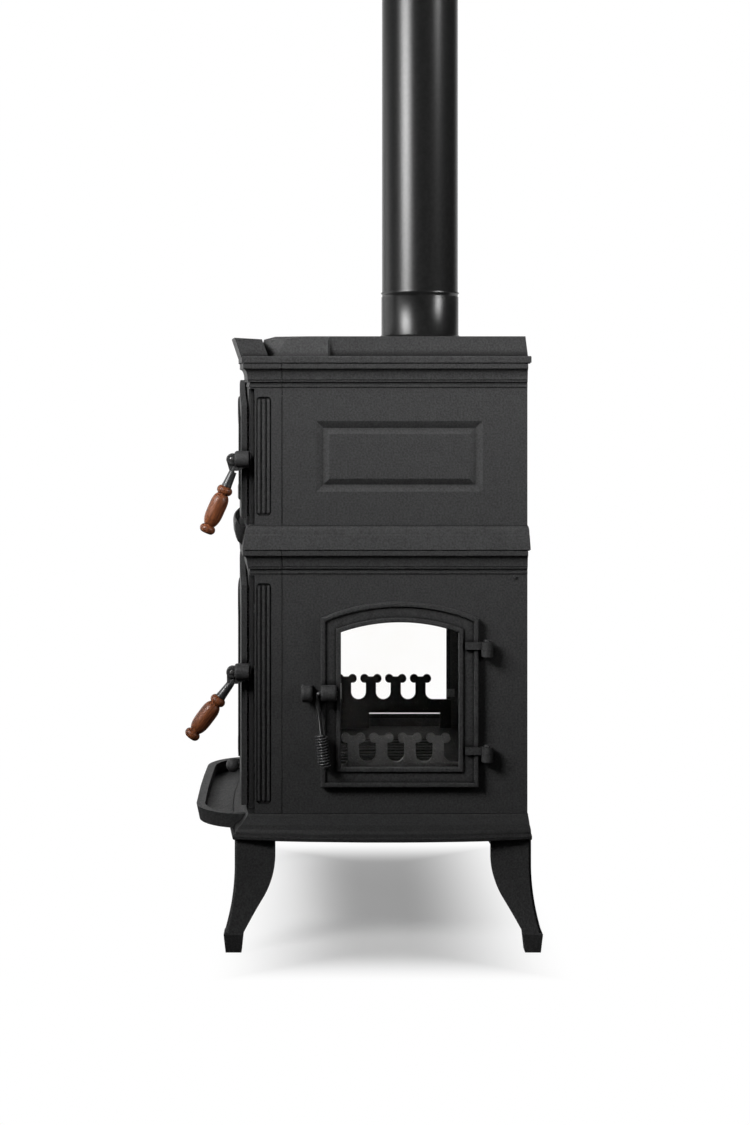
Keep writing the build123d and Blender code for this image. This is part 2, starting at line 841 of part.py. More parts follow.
def ferrule():
    """Metal sleeve between the neck and the wooden grip."""
    return turned([(0, ferrule_top_radius), (ferrule_length - 4, 0.95 * ferrule_radius),
                   (ferrule_length - 3, ferrule_radius), (ferrule_length, ferrule_radius)])


def grip():
    """Turned wooden grip with a bead at each end, a belly and a waist."""
    length = grip_length
    shape = Spline((grip_waist_radius, 0.16 * length), (grip_belly_radius, 0.46 * length),
                   (grip_waist_radius, 0.82 * length), tangents=((1, 0.9), (-0.9, 1.2)))
    bead = 0.1 * length
    first = ThreePointArc((grip_waist_radius, 0), (grip_end_radius, 0.08 * length),
                          (grip_waist_radius, 0.16 * length))
    last = ThreePointArc((grip_waist_radius, 0.82 * length), (grip_end_radius, length - bead),
                         (grip_waist_radius, length - 0.2 * bead))
    edges = [
        Line((0, 0), (grip_waist_radius, 0)),
        first,
        shape,
        last,
        Line((grip_waist_radius, length - 0.2 * bead), (0, length - 0.2 * bead)),
        Line((0, length - 0.2 * bead), (0, 0)),
    ]
    return revolve(Plane.XZ * make_face(edges), Axis.Z)


def build_air_control():
    """Pull rod of the air control, with a shutter plate behind the door and a ball knob."""
    z = z_lower + air_rod_height
    door_front = bow_y(door_gap + front_door_plate)
    knob_y = door_front - air_knob_out
    inner = bow_y(door_gap) + air_travel + 2 * air_plate_thickness
    shaft = rod((0, inner, z), (0, knob_y + 0.7 * air_knob_radius, z), air_rod_radius)
    foot = z - air_plate_drop
    plate = block((-air_plate_width / 2, air_plate_width / 2), (inner - air_plate_thickness, inner),
                  (foot, foot + air_plate_height))
    parts["air_rod"] = shaft + plate
    ball = Pos(0, knob_y, z) * Sphere(air_knob_radius)
    cut = block((-deep, deep), (knob_y + 0.7 * air_knob_radius, deep), (0, deep))
    parts["air_knob"] = ball - cut


def build_side_panel(name, low, high, right, lower):
    """Side casting of one storey, with its crown moulding and window or fielded panel."""
    ring = body_ring(low, high, moulded(cornice_profile(high)))
    slab = block((0, deep), (seam_y + seam_gap, half_depth), (low, high))
    solid = (ring - storey_core(low, high)) & slab
    core = block((0, half_width - wall), (-deep, deep), (low, high))
    solid -= core
    if lower:
        solid += panel_ledge(low)
        if right:
            solid -= side_prism(side_outline(side_opening_inset), 0, deep)
            solid += side_hinge_lugs()
        else:
            solid -= side_prism(window_outline(0), 0, deep)
            frame = side_prism(window_outline(-bead_width), side_plane - 1, side_plane + bead_height)
            frame -= side_prism(window_outline(0), 0, deep)
            solid += frame
            solid -= side_prism(window_outline(-glass_lap - fit), 0,
                                side_plane - wall + glass_thickness + fit)
    else:
        solid -= field_cut(low, high)
    if not right:
        solid = mirror(solid, about=Plane.YZ)
    parts[name] = solid


def window_outline(inset):
    """Outline of the fixed window in the left side."""
    width = side_door_width - 2 * side_opening_inset
    sill = z_lower + window_sill
    spring = z_lower + side_door_sill + side_door_straight
    crown = spring + side_door_rise - side_opening_inset
    return arch(width, sill, spring - side_opening_inset * 0.75, crown, inset)


def panel_ledge(low):
    """Rib inside a lower side casting that carries the baffle."""
    top = low + baffle_height
    return block((half_width - wall - ledge_depth, half_width - wall / 2),
                 (seam_y + tie_inset, half_depth - 2 * tie_inset), (top - ledge_height, top))


def field_cut(low, high):
    """Sunk bevel round a raised field in an upper side casting."""
    middle = (low + high - cornice_height) / 2
    face = side_plane
    outer = Rectangle(field_length, field_height)
    groove = Rectangle(field_length - 2 * field_bevel, field_height - 2 * field_bevel)
    inner_length = field_length - 2 * field_bevel - 2 * field_inner_bevel
    inner_height = field_height - 2 * field_bevel - 2 * field_inner_bevel
    inner = Rectangle(inner_length, inner_height)
    place = Pos(side_feature_y, middle)
    sunk = loft([RIGHT.offset(face) * (place * outer),
                 RIGHT.offset(face - field_depth) * (place * groove)], ruled=True)
    raised = loft([RIGHT.offset(face - field_depth) * (place * groove),
                   RIGHT.offset(face) * (place * inner)], ruled=True)
    return sunk - raised


def side_hinge_axis():
    """Upright hinge axis of the loading door."""
    y = side_feature_y + side_door_width / 2 + side_hinge_reach
    return side_plane + side_hinge_out, y


def side_hinge_lugs():
    """Knuckles on the right side casting, under the straps of the loading door."""
    x, y = side_hinge_axis()
    lugs = []
    for level in side_hinge_levels:
        z = z_lower + level
        low = z - side_knuckle_height
        knuckle = rod((x, y, low), (x, y, z), side_knuckle_radius)
        web = block((side_plane - wall / 2, x), (y - 0.6 * side_knuckle_radius,
                                                  y + 0.6 * side_knuckle_radius), (low, z))
        bore = rod((x, y, low), (x, y, z), side_hinge_pin_radius + running)
        lugs.append(knuckle + web - bore)
    return lugs


def build_side_hinge_pins():
    """Pins that hang the loading door on its knuckles."""
    x, y = side_hinge_axis()
    pins = []
    for level in side_hinge_levels:
        z = z_lower + level
        top = z + fit + side_strap_height
        pins.append(hinge_pin(x, y, z - side_knuckle_height, top, side_hinge_pin_radius,
                              0.6 * side_knuckle_radius))
    parts["loading_hinge_pins"] = Compound(pins)


def latch_axis():
    """Place of the latch shaft: distance out, Y of the boss's front face and height."""
    boss_front = side_feature_y - side_door_width / 2
    return side_plane + latch_out, boss_front, z_lower + latch_height


def build_loading_door():
    """Flat side door with an outer and an inner bead, straps and a latch boss."""
    back = side_plane + door_gap
    face = back + side_door_thickness
    solid = side_prism(side_outline(), back, face)
    for start in (0, side_glass_inset - bead_width):
        ring = side_prism(side_outline(start), face - 0.5, face + bead_height)
        ring -= side_prism(side_outline(start + bead_width), face - 1, face + bead_height + 1)
        rim = ring.faces().sort_by(Axis.X)[-1].edges()
        solid += fillet(rim, 0.3 * bead_width)
    solid -= side_prism(side_outline(side_glass_inset), back - 1, face + bead_height + 1)
    solid -= side_prism(side_outline(side_glass_inset - glass_lap - fit), back - 1,
                        back + glass_thickness)
    x, y = side_hinge_axis()
    for level in side_hinge_levels:
        z = z_lower + level + fit
        knuckle = rod((x, y, z), (x, y, z + side_strap_height), side_knuckle_radius)
        strap = block((face - 1, face + side_strap_thickness),
                      (y - side_hinge_reach - side_strap_length, y), (z, z + side_strap_height))
        solid += knuckle + strap
        solid -= rod((x, y, z), (x, y, z + side_strap_height), side_hinge_pin_radius + running)
    axis_x, boss_front, z = latch_axis()
    boss = rod((axis_x, boss_front, z), (axis_x, boss_front + latch_boss_length, z),
               latch_boss_radius)
    stand = block((face - 1, axis_x), (boss_front, boss_front + latch_boss_length),
                  (z - 0.8 * latch_boss_radius, z + 0.8 * latch_boss_radius))
    solid += fillet(boss.edges().filter_by(GeomType.CIRCLE), latch_boss_round) + stand
    solid -= rod((axis_x, boss_front - 1, z), (axis_x, boss_front + latch_boss_length + 1, z),
                 lever_radius + running)
    groove_in = side_opening_inset - gasket_width - 2
    solid -= side_gasket(back - 1, back + gasket_sink, groove_in, 0)
    parts["loading_door"] = solid
    parts["loading_door_gasket"] = side_gasket(side_plane + fit, back + gasket_sink, groove_in,
                                               fit / 3)
    pane = side_prism(side_outline(side_glass_inset - glass_lap), back + fit / 3,
                      back + glass_thickness)
    parts["loading_door_glass"] = pane
    clips = []
    half = side_door_width / 2 - side_glass_inset
    for side in (-1, 1):
        for share in (0.15, 0.75):
            z = z_lower + side_door_sill + side_glass_inset + share * side_door_straight
            y = side_feature_y + side * (half + clip_gap + clip_length / 2)
            clips.append(clip_plate(back - clip_thickness, y, z))
    parts["loading_door_clips"] = Compound(clips)


def clip_plate(x, y, z):
    """Small flat clip that holds the edge of a side pane, from x towards +X."""
    return block((x, x + clip_thickness), (y - clip_length / 2, y + clip_length / 2),
                 (z - clip_height / 2, z + clip_height / 2))


def side_gasket(start, end, inset, slack):
    """Rope seal round the back of the loading door."""
    ring = side_prism(side_outline(inset + slack), start, end)
    return ring - side_prism(side_outline(inset + gasket_width - slack), start - 1, end + 1)


def build_latch():
    """Latch of the loading door: bent lever rod, coil grip and the keeper on the body."""
    x, boss_front, z = latch_axis()
    lean = math.radians(lever_tilt)
    down = Vector(0, math.sin(lean), -math.cos(lean))
    bend_y = boss_front - keeper_gap / 2
    start = Vector(x, boss_front + latch_boss_length + 2, z)
    corner = Vector(x, bend_y, z)
    end = corner + down * lever_length
    path = FilletPolyline(start, corner, end, radius=lever_elbow)
    section = Plane(origin=start, z_dir=corner - start) * Circle(lever_radius)
    lever = sweep(section, path=path)
    coil_length = coil_turns * coil_pitch
    grip_end = end - down * (coil_wire + 1)
    inner = coil_outer_radius - coil_wire
    for place in (0, coil_length - coil_bush):
        bush = Plane(origin=grip_end - down * (place + coil_bush), z_dir=down)
        lever += extrude(bush * Circle(inner - fit), amount=coil_bush)
    parts["latch_lever"] = lever
    coil_plane = Plane(origin=grip_end, x_dir=(1, 0, 0), z_dir=-down)
    parts["latch_coil_grip"] = coil_plane * coil(coil_outer_radius - coil_wire / 2, coil_pitch,
                                                 coil_turns, coil_wire / 2)
    keeper_rear = boss_front - keeper_gap
    keeper = rod((x, keeper_rear - keeper_length, z), (x, keeper_rear, z), keeper_radius)
    keeper = fillet(keeper.edges().filter_by(GeomType.CIRCLE), keeper_round)
    keeper += block((side_plane, x), (keeper_rear - keeper_length, keeper_rear),
                    (z - 0.7 * keeper_radius, z + 0.7 * keeper_radius))
    parts["latch_keeper"] = keeper


def coil(radius, pitch, turns, wire):
    """Spring of round wire about +Z: quarter turns of arcs end to end, with straight ends."""
    eighths = 8
    points = []
    for step in range(eighths * turns + 1):
        turn = 2 * math.pi * step / eighths
        points.append(Vector(radius * math.cos(turn), radius * math.sin(turn), pitch * step / eighths))
    arcs = []
    for step in range(0, eighths * turns, 2):
        arcs.append(ThreePointArc(points[step], points[step + 1], points[step + 2]))
    lead = arcs[0] @ 0 - (arcs[0] % 0) * 2 * wire
    tail = arcs[-1] @ 1 + (arcs[-1] % 1) * 2 * wire
    path = Wire([Line(lead, arcs[0] @ 0)] + arcs + [Line(arcs[-1] @ 1, tail)])
    solid = sweep(Plane(origin=lead, z_dir=path % 0) * Circle(wire), path=path)
    half_turn = eighths // 2
    gaps = []
    for index, point in enumerate(points):
        for other in points[index + half_turn:]:
            gaps.append((point - other).length - 2 * wire)
    print("coil grip: least gap to itself", round(min(gaps), 3), "mm")
    return solid


def build_rear_panel(name, low, high):
    """Flat rear casting of one storey with a low raised border."""
    x = half_width - wall - fit
    plate = block((-x, x), (half_depth - wall, half_depth), (low, high))
    middle = (low + high) / 2
    border = Rectangle(2 * x - 60, high - low - 60)
    inner = Rectangle(2 * x - 84, high - low - 84)
    back = Plane((0, half_depth, middle), x_dir=(-1, 0, 0), z_dir=(0, 1, 0))
    parts[name] = plate + extrude(back * (border - inner), amount=3)


def build_mid_shelf():
    """Shelf casting between the storeys, with a scooped lip along its front edge."""
    low = z_shelf
    out = shelf_overhang
    steps = shadow_steps(low, out)
    steps += [(low + 24, out - 4), (low + 26, out - 5)]
    for step in range(1, 5):
        turn = math.radians(22.5 * step)
        steps.append((low + 26 + 13 * math.sin(turn), (out - 6) * math.cos(turn) + 1.0))
    steps.append((z_upper, 1.0))
    solid = moulded(steps, 0.0, 0.3)
    points = [(bow_y(reach), low + height) for reach, height in shelf_lip_profile]
    section = Plane.YZ * make_face(Polyline(*points, close=True))
    span = 2 * math.degrees(math.asin((half_width - shelf_lip_margin) / front_bow_radius))
    axis = Axis((0, bow_centre_y, 0), (0, 0, 1))
    solid += revolve(section.rotate(axis, -span / 2), axis, span)
    hollow = extrude(Pos(0, 0, low) * plan(-2 * wall, -2 * wall), amount=shelf_height - 12)
    solid -= hollow
    rear = half_depth - wall - 0.6 * smoke_depth
    solid -= block((-smoke_width / 2, smoke_width / 2), (rear - smoke_depth / 2,
                                                         rear + smoke_depth / 2), (low, z_upper))
    for x, y in tie_places():
        solid -= rod((x, y, low), (x, y, z_upper), tie_radius + fit)
    parts["mid_shelf"] = solid


def build_top_plate():
    """Top casting: moulded rim, flared front crown and a raised cooking plateau."""
    out = rim_overhang
    steps = shadow_steps(z_top, out)
    steps += [(z_rim - 2, out), (z_rim, out - 1.5)]
    solid = moulded(steps, 0.0, 0.35)
    top = z_plateau - 3
    crown = [(bow_y(out), z_rim - crown_root), (bow_y(out + crown_lean), top),
             (bow_y(out + crown_lean - crown_depth), top - 2.5),
             (bow_y(out - crown_depth), z_rim - crown_root)]
    section = Plane.YZ * make_face(Polyline(*crown, close=True))
    span = 2 * math.degrees(math.asin((half_width + out) / front_bow_radius)) + 2
    axis = Axis((0, bow_centre_y, 0), (0, 0, 1))
    crest = revolve(section.rotate(axis, -span / 2), axis, span)
    solid += crest & block((-half_width - 0.6 * out, half_width + 0.6 * out), (-deep, 0), (0, deep))
    solid += plateau()
    solid -= rod((0, flue_y, 0), (0, flue_y, z_plateau + 1), collar_bore)
    solid -= extrude(Pos(0, 0, z_top) * Rectangle(body_width - 6 * wall, body_depth - 8 * wall),
                     amount=z_plateau - wall - z_top)
    for x, y in tie_places():
        solid -= rod((x, y, 0), (x, y, z_rim - 2), tie_radius + fit)
    parts["top_plate"] = solid


def plateau():
    """Raised middle of the top, with slanted ends, cut front corners and stepped-in sides."""
    half = half_width - plateau_inset
    front = plateau_front - half_depth
    rear = half_depth + plateau_rear
    lean = plateau_lean
    levels = [(z_rim - 1, 0.0, 0.0), (z_plateau - plateau_ease, 0.85 * lean, 0.5 * lean),
              (z_plateau, lean, 1.8 * lean)]
    faces = []
    for z, side_in, front_in in levels:
        x = half - side_in
        y = front + front_in
        back = rear - 0.3 * side_in
        cut = plateau_lean + 0.5 * front_in
        corners = [(-x, back), (x, back), (x, y + 2 * cut), (x - cut, y), (cut - x, y), (-x, y + 2 * cut)]
        faces.append(Pos(0, 0, z) * make_face(Polyline(*corners, close=True)))
    solid = loft(faces, ruled=True)
    scoop = block((half - lean, half + lean), (front + plateau_block, deep), (z_rim, deep))
    scoop = fillet(scoop.edges().filter_by(Axis.Z).sort_by(Axis.Y)[0], plateau_corner)
    return solid - [scoop, mirror(scoop, about=Plane.YZ)]


def build_tie_rods():
    """Long rods that clamp base, shelf and top together, with nuts below."""
    rods = []
    for x, y in tie_places():
        shaft = rod((x, y, z_lower - wall - tie_nut_height), (x, y, z_rim - 2 - fit), tie_radius)
        nut_z = z_lower - wall - tie_nut_height
        nut = extrude(Pos(x, y, nut_z) * RegularPolygon(tie_nut_radius, 6), amount=tie_nut_height)
        rods.append(shaft + nut)
    parts["tie_rods"] = Compound(rods)


def build_flue():
    """Cast collar on the top and the first length of stove pipe standing in it."""
    low = z_plateau
    high = low + collar_height
    step = low + 0.6 * collar_flange
    outline = [(collar_bore, low), (collar_flange_radius, low), (collar_flange_radius, step),
               (collar_radius + collar_flange, low + collar_flange),
               (collar_radius, low + 2 * collar_flange), (collar_radius, high), (collar_bore, high)]
    ring = revolve(Plane.XZ * make_face(Polyline(*outline, close=True)), Axis.Z)
    parts["flue_collar"] = Pos(0, flue_y, 0) * ring
    top = high + flue_length
    spigot = collar_bore - fit
    tube = [(spigot, high - spigot_length), (spigot, high), (flue_radius, high),
            (flue_radius, high + 4), (flue_radius + bead_ring, high + 6.5),
            (flue_radius, high + 9), (flue_radius, top), (flue_radius - flue_wall, top),
            (flue_radius - flue_wall, high + flue_wall), (spigot - flue_wall, high + flue_wall),
            (spigot - flue_wall, high - spigot_length)]
    pipe = revolve(Plane.XZ * make_face(Polyline(*tube, close=True)), Axis.Z)
    parts["flue_pipe"] = Pos(0, flue_y, 0) * pipe


def build_left_window():
    """Fixed pane of the left side and the clips that hold it."""
    back = side_plane - wall
    pane = side_prism(window_outline(-glass_lap), back + fit, back + glass_thickness)
    parts["left_window_glass"] = mirror(pane, about=Plane.YZ)
    half = side_door_width / 2 - side_opening_inset
    clips = []
    for side in (-1, 1):
        for share in (0.15, 0.7):
            z = z_lower + window_sill + share * side_door_straight
            y = side_feature_y + side * (half + clip_gap + clip_length / 2)
            clips.append(clip_plate(-back, y, z))
    parts["left_window_clips"] = Compound(clips)


def build_firebox_inside():
    """Firebox floor, grate, ash pan, log guards, rear liner and baffle."""
    inset = wall + floor_clearance
    x = half_width - inset
    front = bow_y(0) + floor_front
    rear = half_depth - inset
    low = z_lower + floor_height
    top = low + floor_thickness
    floor = block((-x, x), (front, rear), (low, top))
    floor -= block((-grate_width / 2, grate_width / 2), (-grate_depth / 2, grate_depth / 2),
                   (top - grate_thickness, top))
    well = grate_width - 2 * grate_ledge
    floor -= block((-well / 2, well / 2), (grate_ledge - grate_depth / 2, grate_depth / 2 - grate_ledge),
                   (low, top))
    for foot in GridLocations(2 * x - 2 * floor_foot - 60, rear - front - 2 * floor_foot - 20, 2, 2):
        post = extrude(foot * Rectangle(floor_foot, floor_foot), amount=floor_height)
        floor += Pos(0, (front + rear) / 2, z_lower) * post
    for tie_x, tie_y in tie_places():
        floor -= rod((tie_x, tie_y, low), (tie_x, tie_y, top), tie_radius + 1)
    parts["firebox_floor"] = floor
    grate = Rectangle(grate_width - 2 * fit, grate_depth - 2 * fit)
    pitch = (grate_width - 40) / grate_slots
    for place in GridLocations(pitch, 0, grate_slots, 1):
        grate -= place * SlotOverall(grate_depth - 60, grate_slot_width, rotation=90)
    parts["grate"] = extrude(Pos(0, 0, top - grate_thickness) * grate, amount=grate_thickness)
    build_ash_pan()
    build_guard("log_guard_right", 1, top, right_guard_lift, 0.0)
    build_guard("log_guard_left", -1, top, left_guard_lift, left_guard_shift)
    build_rear_liner(top, rear)
    baffle_x = half_width - wall - fit - 1
    z = z_lower + baffle_height
    baffle = block((-baffle_x, baffle_x), (seam_y - 30 + baffle_front_gap, rear - liner_thickness),
                   (z, z + baffle_thickness))
    for tie_x, tie_y in tie_places():
        baffle -= rod((tie_x, tie_y, z), (tie_x, tie_y, z + baffle_thickness), tie_radius + 1)
    parts["baffle"] = baffle


def build_ash_pan():
    """Sheet steel pan on the base, under the grate."""
    pan = block((-pan_width / 2, pan_width / 2), (-pan_depth / 2, pan_depth / 2),
                (z_lower, z_lower + pan_height))
    inner = (pan_width / 2 - pan_wall, pan_depth / 2 - pan_wall)
    pan -= block((-inner[0], inner[0]), (-inner[1], inner[1]),
                 (z_lower + pan_wall, z_lower + pan_height + 1))
    grip_z = z_lower + 0.6 * pan_height
    pan += block((-40, 40), (-pan_depth / 2 - 14, -pan_depth / 2 + 1), (grip_z, grip_z + 4))
    parts["ash_pan"] = Pos(0, -10, 0) * pan


def build_guard(name, side, seat, lift, shift):
    """Log guard: a bar on two end feet, with a row of double-lobed fingers."""
    bar_low = seat + lift
    bar_high = bar_low + guard_bar
    tip = bar_high + guard_finger_height
    start = -guard_start - shift
    outline = Pos((start + guard_end) / 2, bar_low + guard_bar / 2) * Rectangle(guard_end - start, guard_bar)
    valley = (guard_pitch - guard_stem) / 2
    lobe_z = tip - guard_lobe
    for index in range(guard_fingers):
        y = start + guard_lead + index * guard_pitch
        outline += Pos(y, (bar_high + lobe_z) / 2) * Rectangle(guard_stem, lobe_z - bar_high)
        outline += Pos(y, lobe_z - 0.25 * guard_lobe) * Rectangle(2 * guard_lobe_spread, 1.3 * guard_lobe)
        for lobe in (-1, 1):
            outline += Pos(y + lobe * guard_lobe_spread, lobe_z) * Circle(guard_lobe)
    for index in range(guard_fingers):
        y = start + guard_lead + (index + 0.5) * guard_pitch
        width = valley if index == guard_fingers - 1 else 2 * valley
        outline += Pos(y - valley + width / 2, bar_high + valley / 2) * Rectangle(width, valley)
        outline -= Pos(y, bar_high + valley) * Circle(valley)
    if lift > 0:
        feet = ((start, start + left_guard_front_foot), (guard_end - left_guard_rear_foot, guard_end))
        for low, high in feet:
            outline += Pos((low + high) / 2, seat + lift / 2 + 1) * Rectangle(high - low, lift + 2)
    face = half_width - guard_inset
    solid = extrude(RIGHT.offset(face - guard_thickness) * outline, amount=guard_thickness)
    parts[name] = solid if side > 0 else mirror(solid, about=Plane.YZ)


def build_rear_liner(seat, rear):
    """Ribbed iron plate that shields the back of the firebox."""
    x = half_width - wall - 2 * tie_inset
    plate = Pos(0, rear - liner_thickness / 2) * Rectangle(2 * x, liner_thickness)
    count = int(2 * x / liner_rib_pitch)
    for place in GridLocations(liner_rib_pitch, 0, count, 1):
        plate += Pos(0, rear - liner_thickness) * (place * Rectangle(liner_rib_pitch / 2,
                                                                     2 * liner_rib_depth))
    parts["rear_liner"] = extrude(Pos(0, 0, seat) * plate, amount=liner_height)


def build_oven():
    """Oven box open to the front, on two runners, with a wire rack inside."""
    front = bow_y(-wall - oven_front_gap, oven_width / 2)
    rear = front + oven_depth
    low = z_upper + oven_runner
    half = oven_width / 2
    box = block((-half, half), (front, rear), (low, low + oven_clear_height))
    box -= block((oven_wall - half, half - oven_wall), (front - 1, rear - oven_wall),
                 (low + oven_wall, low + oven_clear_height - oven_wall))
    for side in (-1, 1):
        x = side * (half - 20)
        box += block((x - 8, x + 8), (front + 10, rear - 10), (z_upper, low + 1))
        shelf = side * (half - oven_wall - 5)
        box += block((shelf - 5.5, shelf + 5.5), (front + 6, rear - 12),
                     (low + rack_level - 4, low + rack_level))
    parts["oven_liner"] = box
    span = half - oven_wall - 2
    z = low + rack_level + rack_bar_radius
    rack_front = front + 14
    rack_rear = rear - oven_wall - 12
    rack = rod((-span, rack_front, z), (span, rack_front, z), rack_bar_radius)
    rack += rod((-span, rack_rear, z), (span, rack_rear, z), rack_bar_radius)
    for index in range(rack_bars):
        x = (index - (rack_bars - 1) / 2) * 2 * (span - 6) / (rack_bars - 1)
        rack += rod((x, rack_front, z), (x, rack_rear, z), 0.8 * rack_bar_radius)
    parts["oven_rack"] = rack


def build_panel_screws():
    """Round-headed screws at the rear top corners of the lower side castings."""
    y = half_depth - screw_inset
    z = z_shelf - cornice_height - screw_drop
    head = rod((side_plane, y, z), (side_plane + screw_height, y, z), screw_radius)
    edge = head.edges().filter_by(GeomType.CIRCLE).sort_by(Axis.X)[-1]
    head = fillet(edge, 0.6 * screw_height)
    parts["panel_screws"] = Compound([head, mirror(head, about=Plane.YZ)])


build_base()
build_ash_lip()
build_legs()
build_front_frame("front_frame_lower", z_lower, z_shelf, z_lower + firebox_door_sill,
                  z_lower + firebox_door_top, firebox_hinge_levels)
build_front_frame("front_frame_upper", z_upper, z_top, z_upper + oven_door_sill,
                  z_upper + oven_door_top, oven_hinge_levels)
build_side_panel("side_panel_lower_right", z_lower, z_shelf, True, True)
build_side_panel("side_panel_lower_left", z_lower, z_shelf, False, True)
build_side_panel("side_panel_upper_right", z_upper, z_top, True, False)
build_side_panel("side_panel_upper_left", z_upper, z_top, False, False)
build_rear_panel("rear_panel_lower", z_lower, z_shelf)
build_rear_panel("rear_panel_upper", z_upper, z_top)
build_mid_shelf()
build_top_plate()
build_tie_rods()
build_flue()
build_firebox_door()
build_oven_door()
build_front_hinge_pins("firebox_hinge_pins", z_lower, firebox_hinge_levels)
build_front_hinge_pins("oven_hinge_pins", z_upper, oven_hinge_levels)
build_handle("firebox_handle", z_lower + firebox_handle_height, firebox_handle_tilt)
build_handle("oven_handle", z_upper + oven_handle_height, oven_handle_tilt)
build_air_control()
build_loading_door()
build_side_hinge_pins()
build_latch()
build_left_window()
build_firebox_inside()
build_oven()
build_panel_screws()

front_reach = min(part.bounding_box().min.Y for part in parts.values())
rear_reach = max(part.bounding_box().max.Y for part in parts.values())
centre_shift = -(front_reach + rear_reach) / 2
print("moved along Y by", round(centre_shift, 3))
os.makedirs("parts", exist_ok=True)
for name, part in parts.items():
    solids = [Pos(0, centre_shift, 0) * solid for solid in part.solids()]
    export_step(Compound(solids), "parts/" + name + ".step")
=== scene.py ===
import json
import math

import bmesh
import bpy
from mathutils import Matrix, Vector

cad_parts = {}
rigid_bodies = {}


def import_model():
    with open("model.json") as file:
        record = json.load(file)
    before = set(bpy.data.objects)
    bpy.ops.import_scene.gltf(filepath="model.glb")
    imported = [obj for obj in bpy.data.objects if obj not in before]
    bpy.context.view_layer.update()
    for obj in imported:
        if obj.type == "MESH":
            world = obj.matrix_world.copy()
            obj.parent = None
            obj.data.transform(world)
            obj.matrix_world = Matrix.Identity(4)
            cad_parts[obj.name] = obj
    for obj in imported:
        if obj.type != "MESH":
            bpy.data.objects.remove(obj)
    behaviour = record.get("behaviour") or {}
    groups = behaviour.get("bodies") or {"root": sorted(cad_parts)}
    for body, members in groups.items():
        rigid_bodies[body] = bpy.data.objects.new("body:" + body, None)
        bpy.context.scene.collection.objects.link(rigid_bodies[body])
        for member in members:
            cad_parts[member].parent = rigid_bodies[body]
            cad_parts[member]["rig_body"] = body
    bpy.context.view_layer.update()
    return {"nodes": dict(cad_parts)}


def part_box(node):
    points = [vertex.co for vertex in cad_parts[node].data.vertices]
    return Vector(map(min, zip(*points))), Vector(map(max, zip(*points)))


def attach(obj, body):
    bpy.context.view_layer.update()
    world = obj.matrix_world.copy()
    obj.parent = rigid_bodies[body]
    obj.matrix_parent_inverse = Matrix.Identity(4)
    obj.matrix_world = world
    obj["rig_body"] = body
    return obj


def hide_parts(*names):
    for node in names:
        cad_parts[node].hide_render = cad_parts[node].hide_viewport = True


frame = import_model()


# Studio: a pale floor that fades into a white backdrop, a soft box overhead, a key lamp at the
# front right, strips at the front and rear right for the flue, and a rim lamp at the front
# left. The camera stands level and square to the right side, which has the loading door.
def placed(name, data):
    """New object with the given data, linked to the scene."""
    made = bpy.data.objects.new(name, data)
    bpy.context.scene.collection.objects.link(made)
    return made


floor_half = 40.0
floor_mesh = bpy.data.meshes.new("floor")
floor_corners = [(-floor_half, -floor_half, 0), (floor_half, -floor_half, 0),
                 (floor_half, floor_half, 0), (-floor_half, floor_half, 0)]
floor_mesh.from_pydata(floor_corners, [], [(0, 1, 2, 3)])
floor = placed("floor", floor_mesh)


def node(tree, kind, **values):
    """Adds a node and sets its sockets by name, with _ for spaces."""
    made = tree.nodes.new(kind)
    for name, value in values.items():
        made.inputs[name.replace("_", " ")].default_value = value
    return made


def maths(tree, operation, first, second=0.0):
    """Adds a maths node whose inputs are sockets or plain numbers."""
    made = tree.nodes.new("ShaderNodeMath")
    made.operation = operation
    for socket, value in zip(made.inputs, (first, second)):
        if isinstance(value, (int, float)):
            socket.default_value = value
        else:
            tree.links.new(value, socket)
    return made.outputs[0]


def remap(tree, value, from_span, to_span, smooth=False):
    """Maps a value from one span to another, held at the ends."""
    made = node(tree, "ShaderNodeMapRange", From_Min=from_span[0], From_Max=from_span[1],
                To_Min=to_span[0], To_Max=to_span[1])
    if smooth:
        made.interpolation_type = "SMOOTHSTEP"
    tree.links.new(value, made.inputs["Value"])
    return made.outputs["Result"]


def fade(tree, value, span):
    """0 before a span and 1 past it, with soft ends."""
    return remap(tree, value, span, (0, 1), smooth=True)


def new_material(name):
    """Empty material with its tree and shader."""
    made = bpy.data.materials.new(name)
    made.use_nodes = True
    return made, made.node_tree, made.node_tree.nodes["Principled BSDF"]


def seen_white(tree, along_x, span):
    """1 on camera rays and rays through glass, and on gloss rays that go behind the stove."""
    path = tree.nodes.new("ShaderNodeLightPath")
    in_gloss = maths(tree, "MULTIPLY", path.outputs["Is Glossy Ray"], fade(tree, along_x, span))
    in_view = maths(tree, "MAXIMUM", path.outputs["Is Camera Ray"],
                    path.outputs["Is Transmission Ray"])
    return maths(tree, "MAXIMUM", in_view, in_gloss)


def blended(tree, share, first, second, output):
    """Blends two shaders into the surface of an output node."""
    merge = tree.nodes.new("ShaderNodeMixShader")
    for socket, source in zip(merge.inputs, (share, first.outputs[0], second.outputs[0])):
        tree.links.new(source, socket)
    tree.links.new(merge.outputs[0], tree.nodes[output].inputs["Surface"])


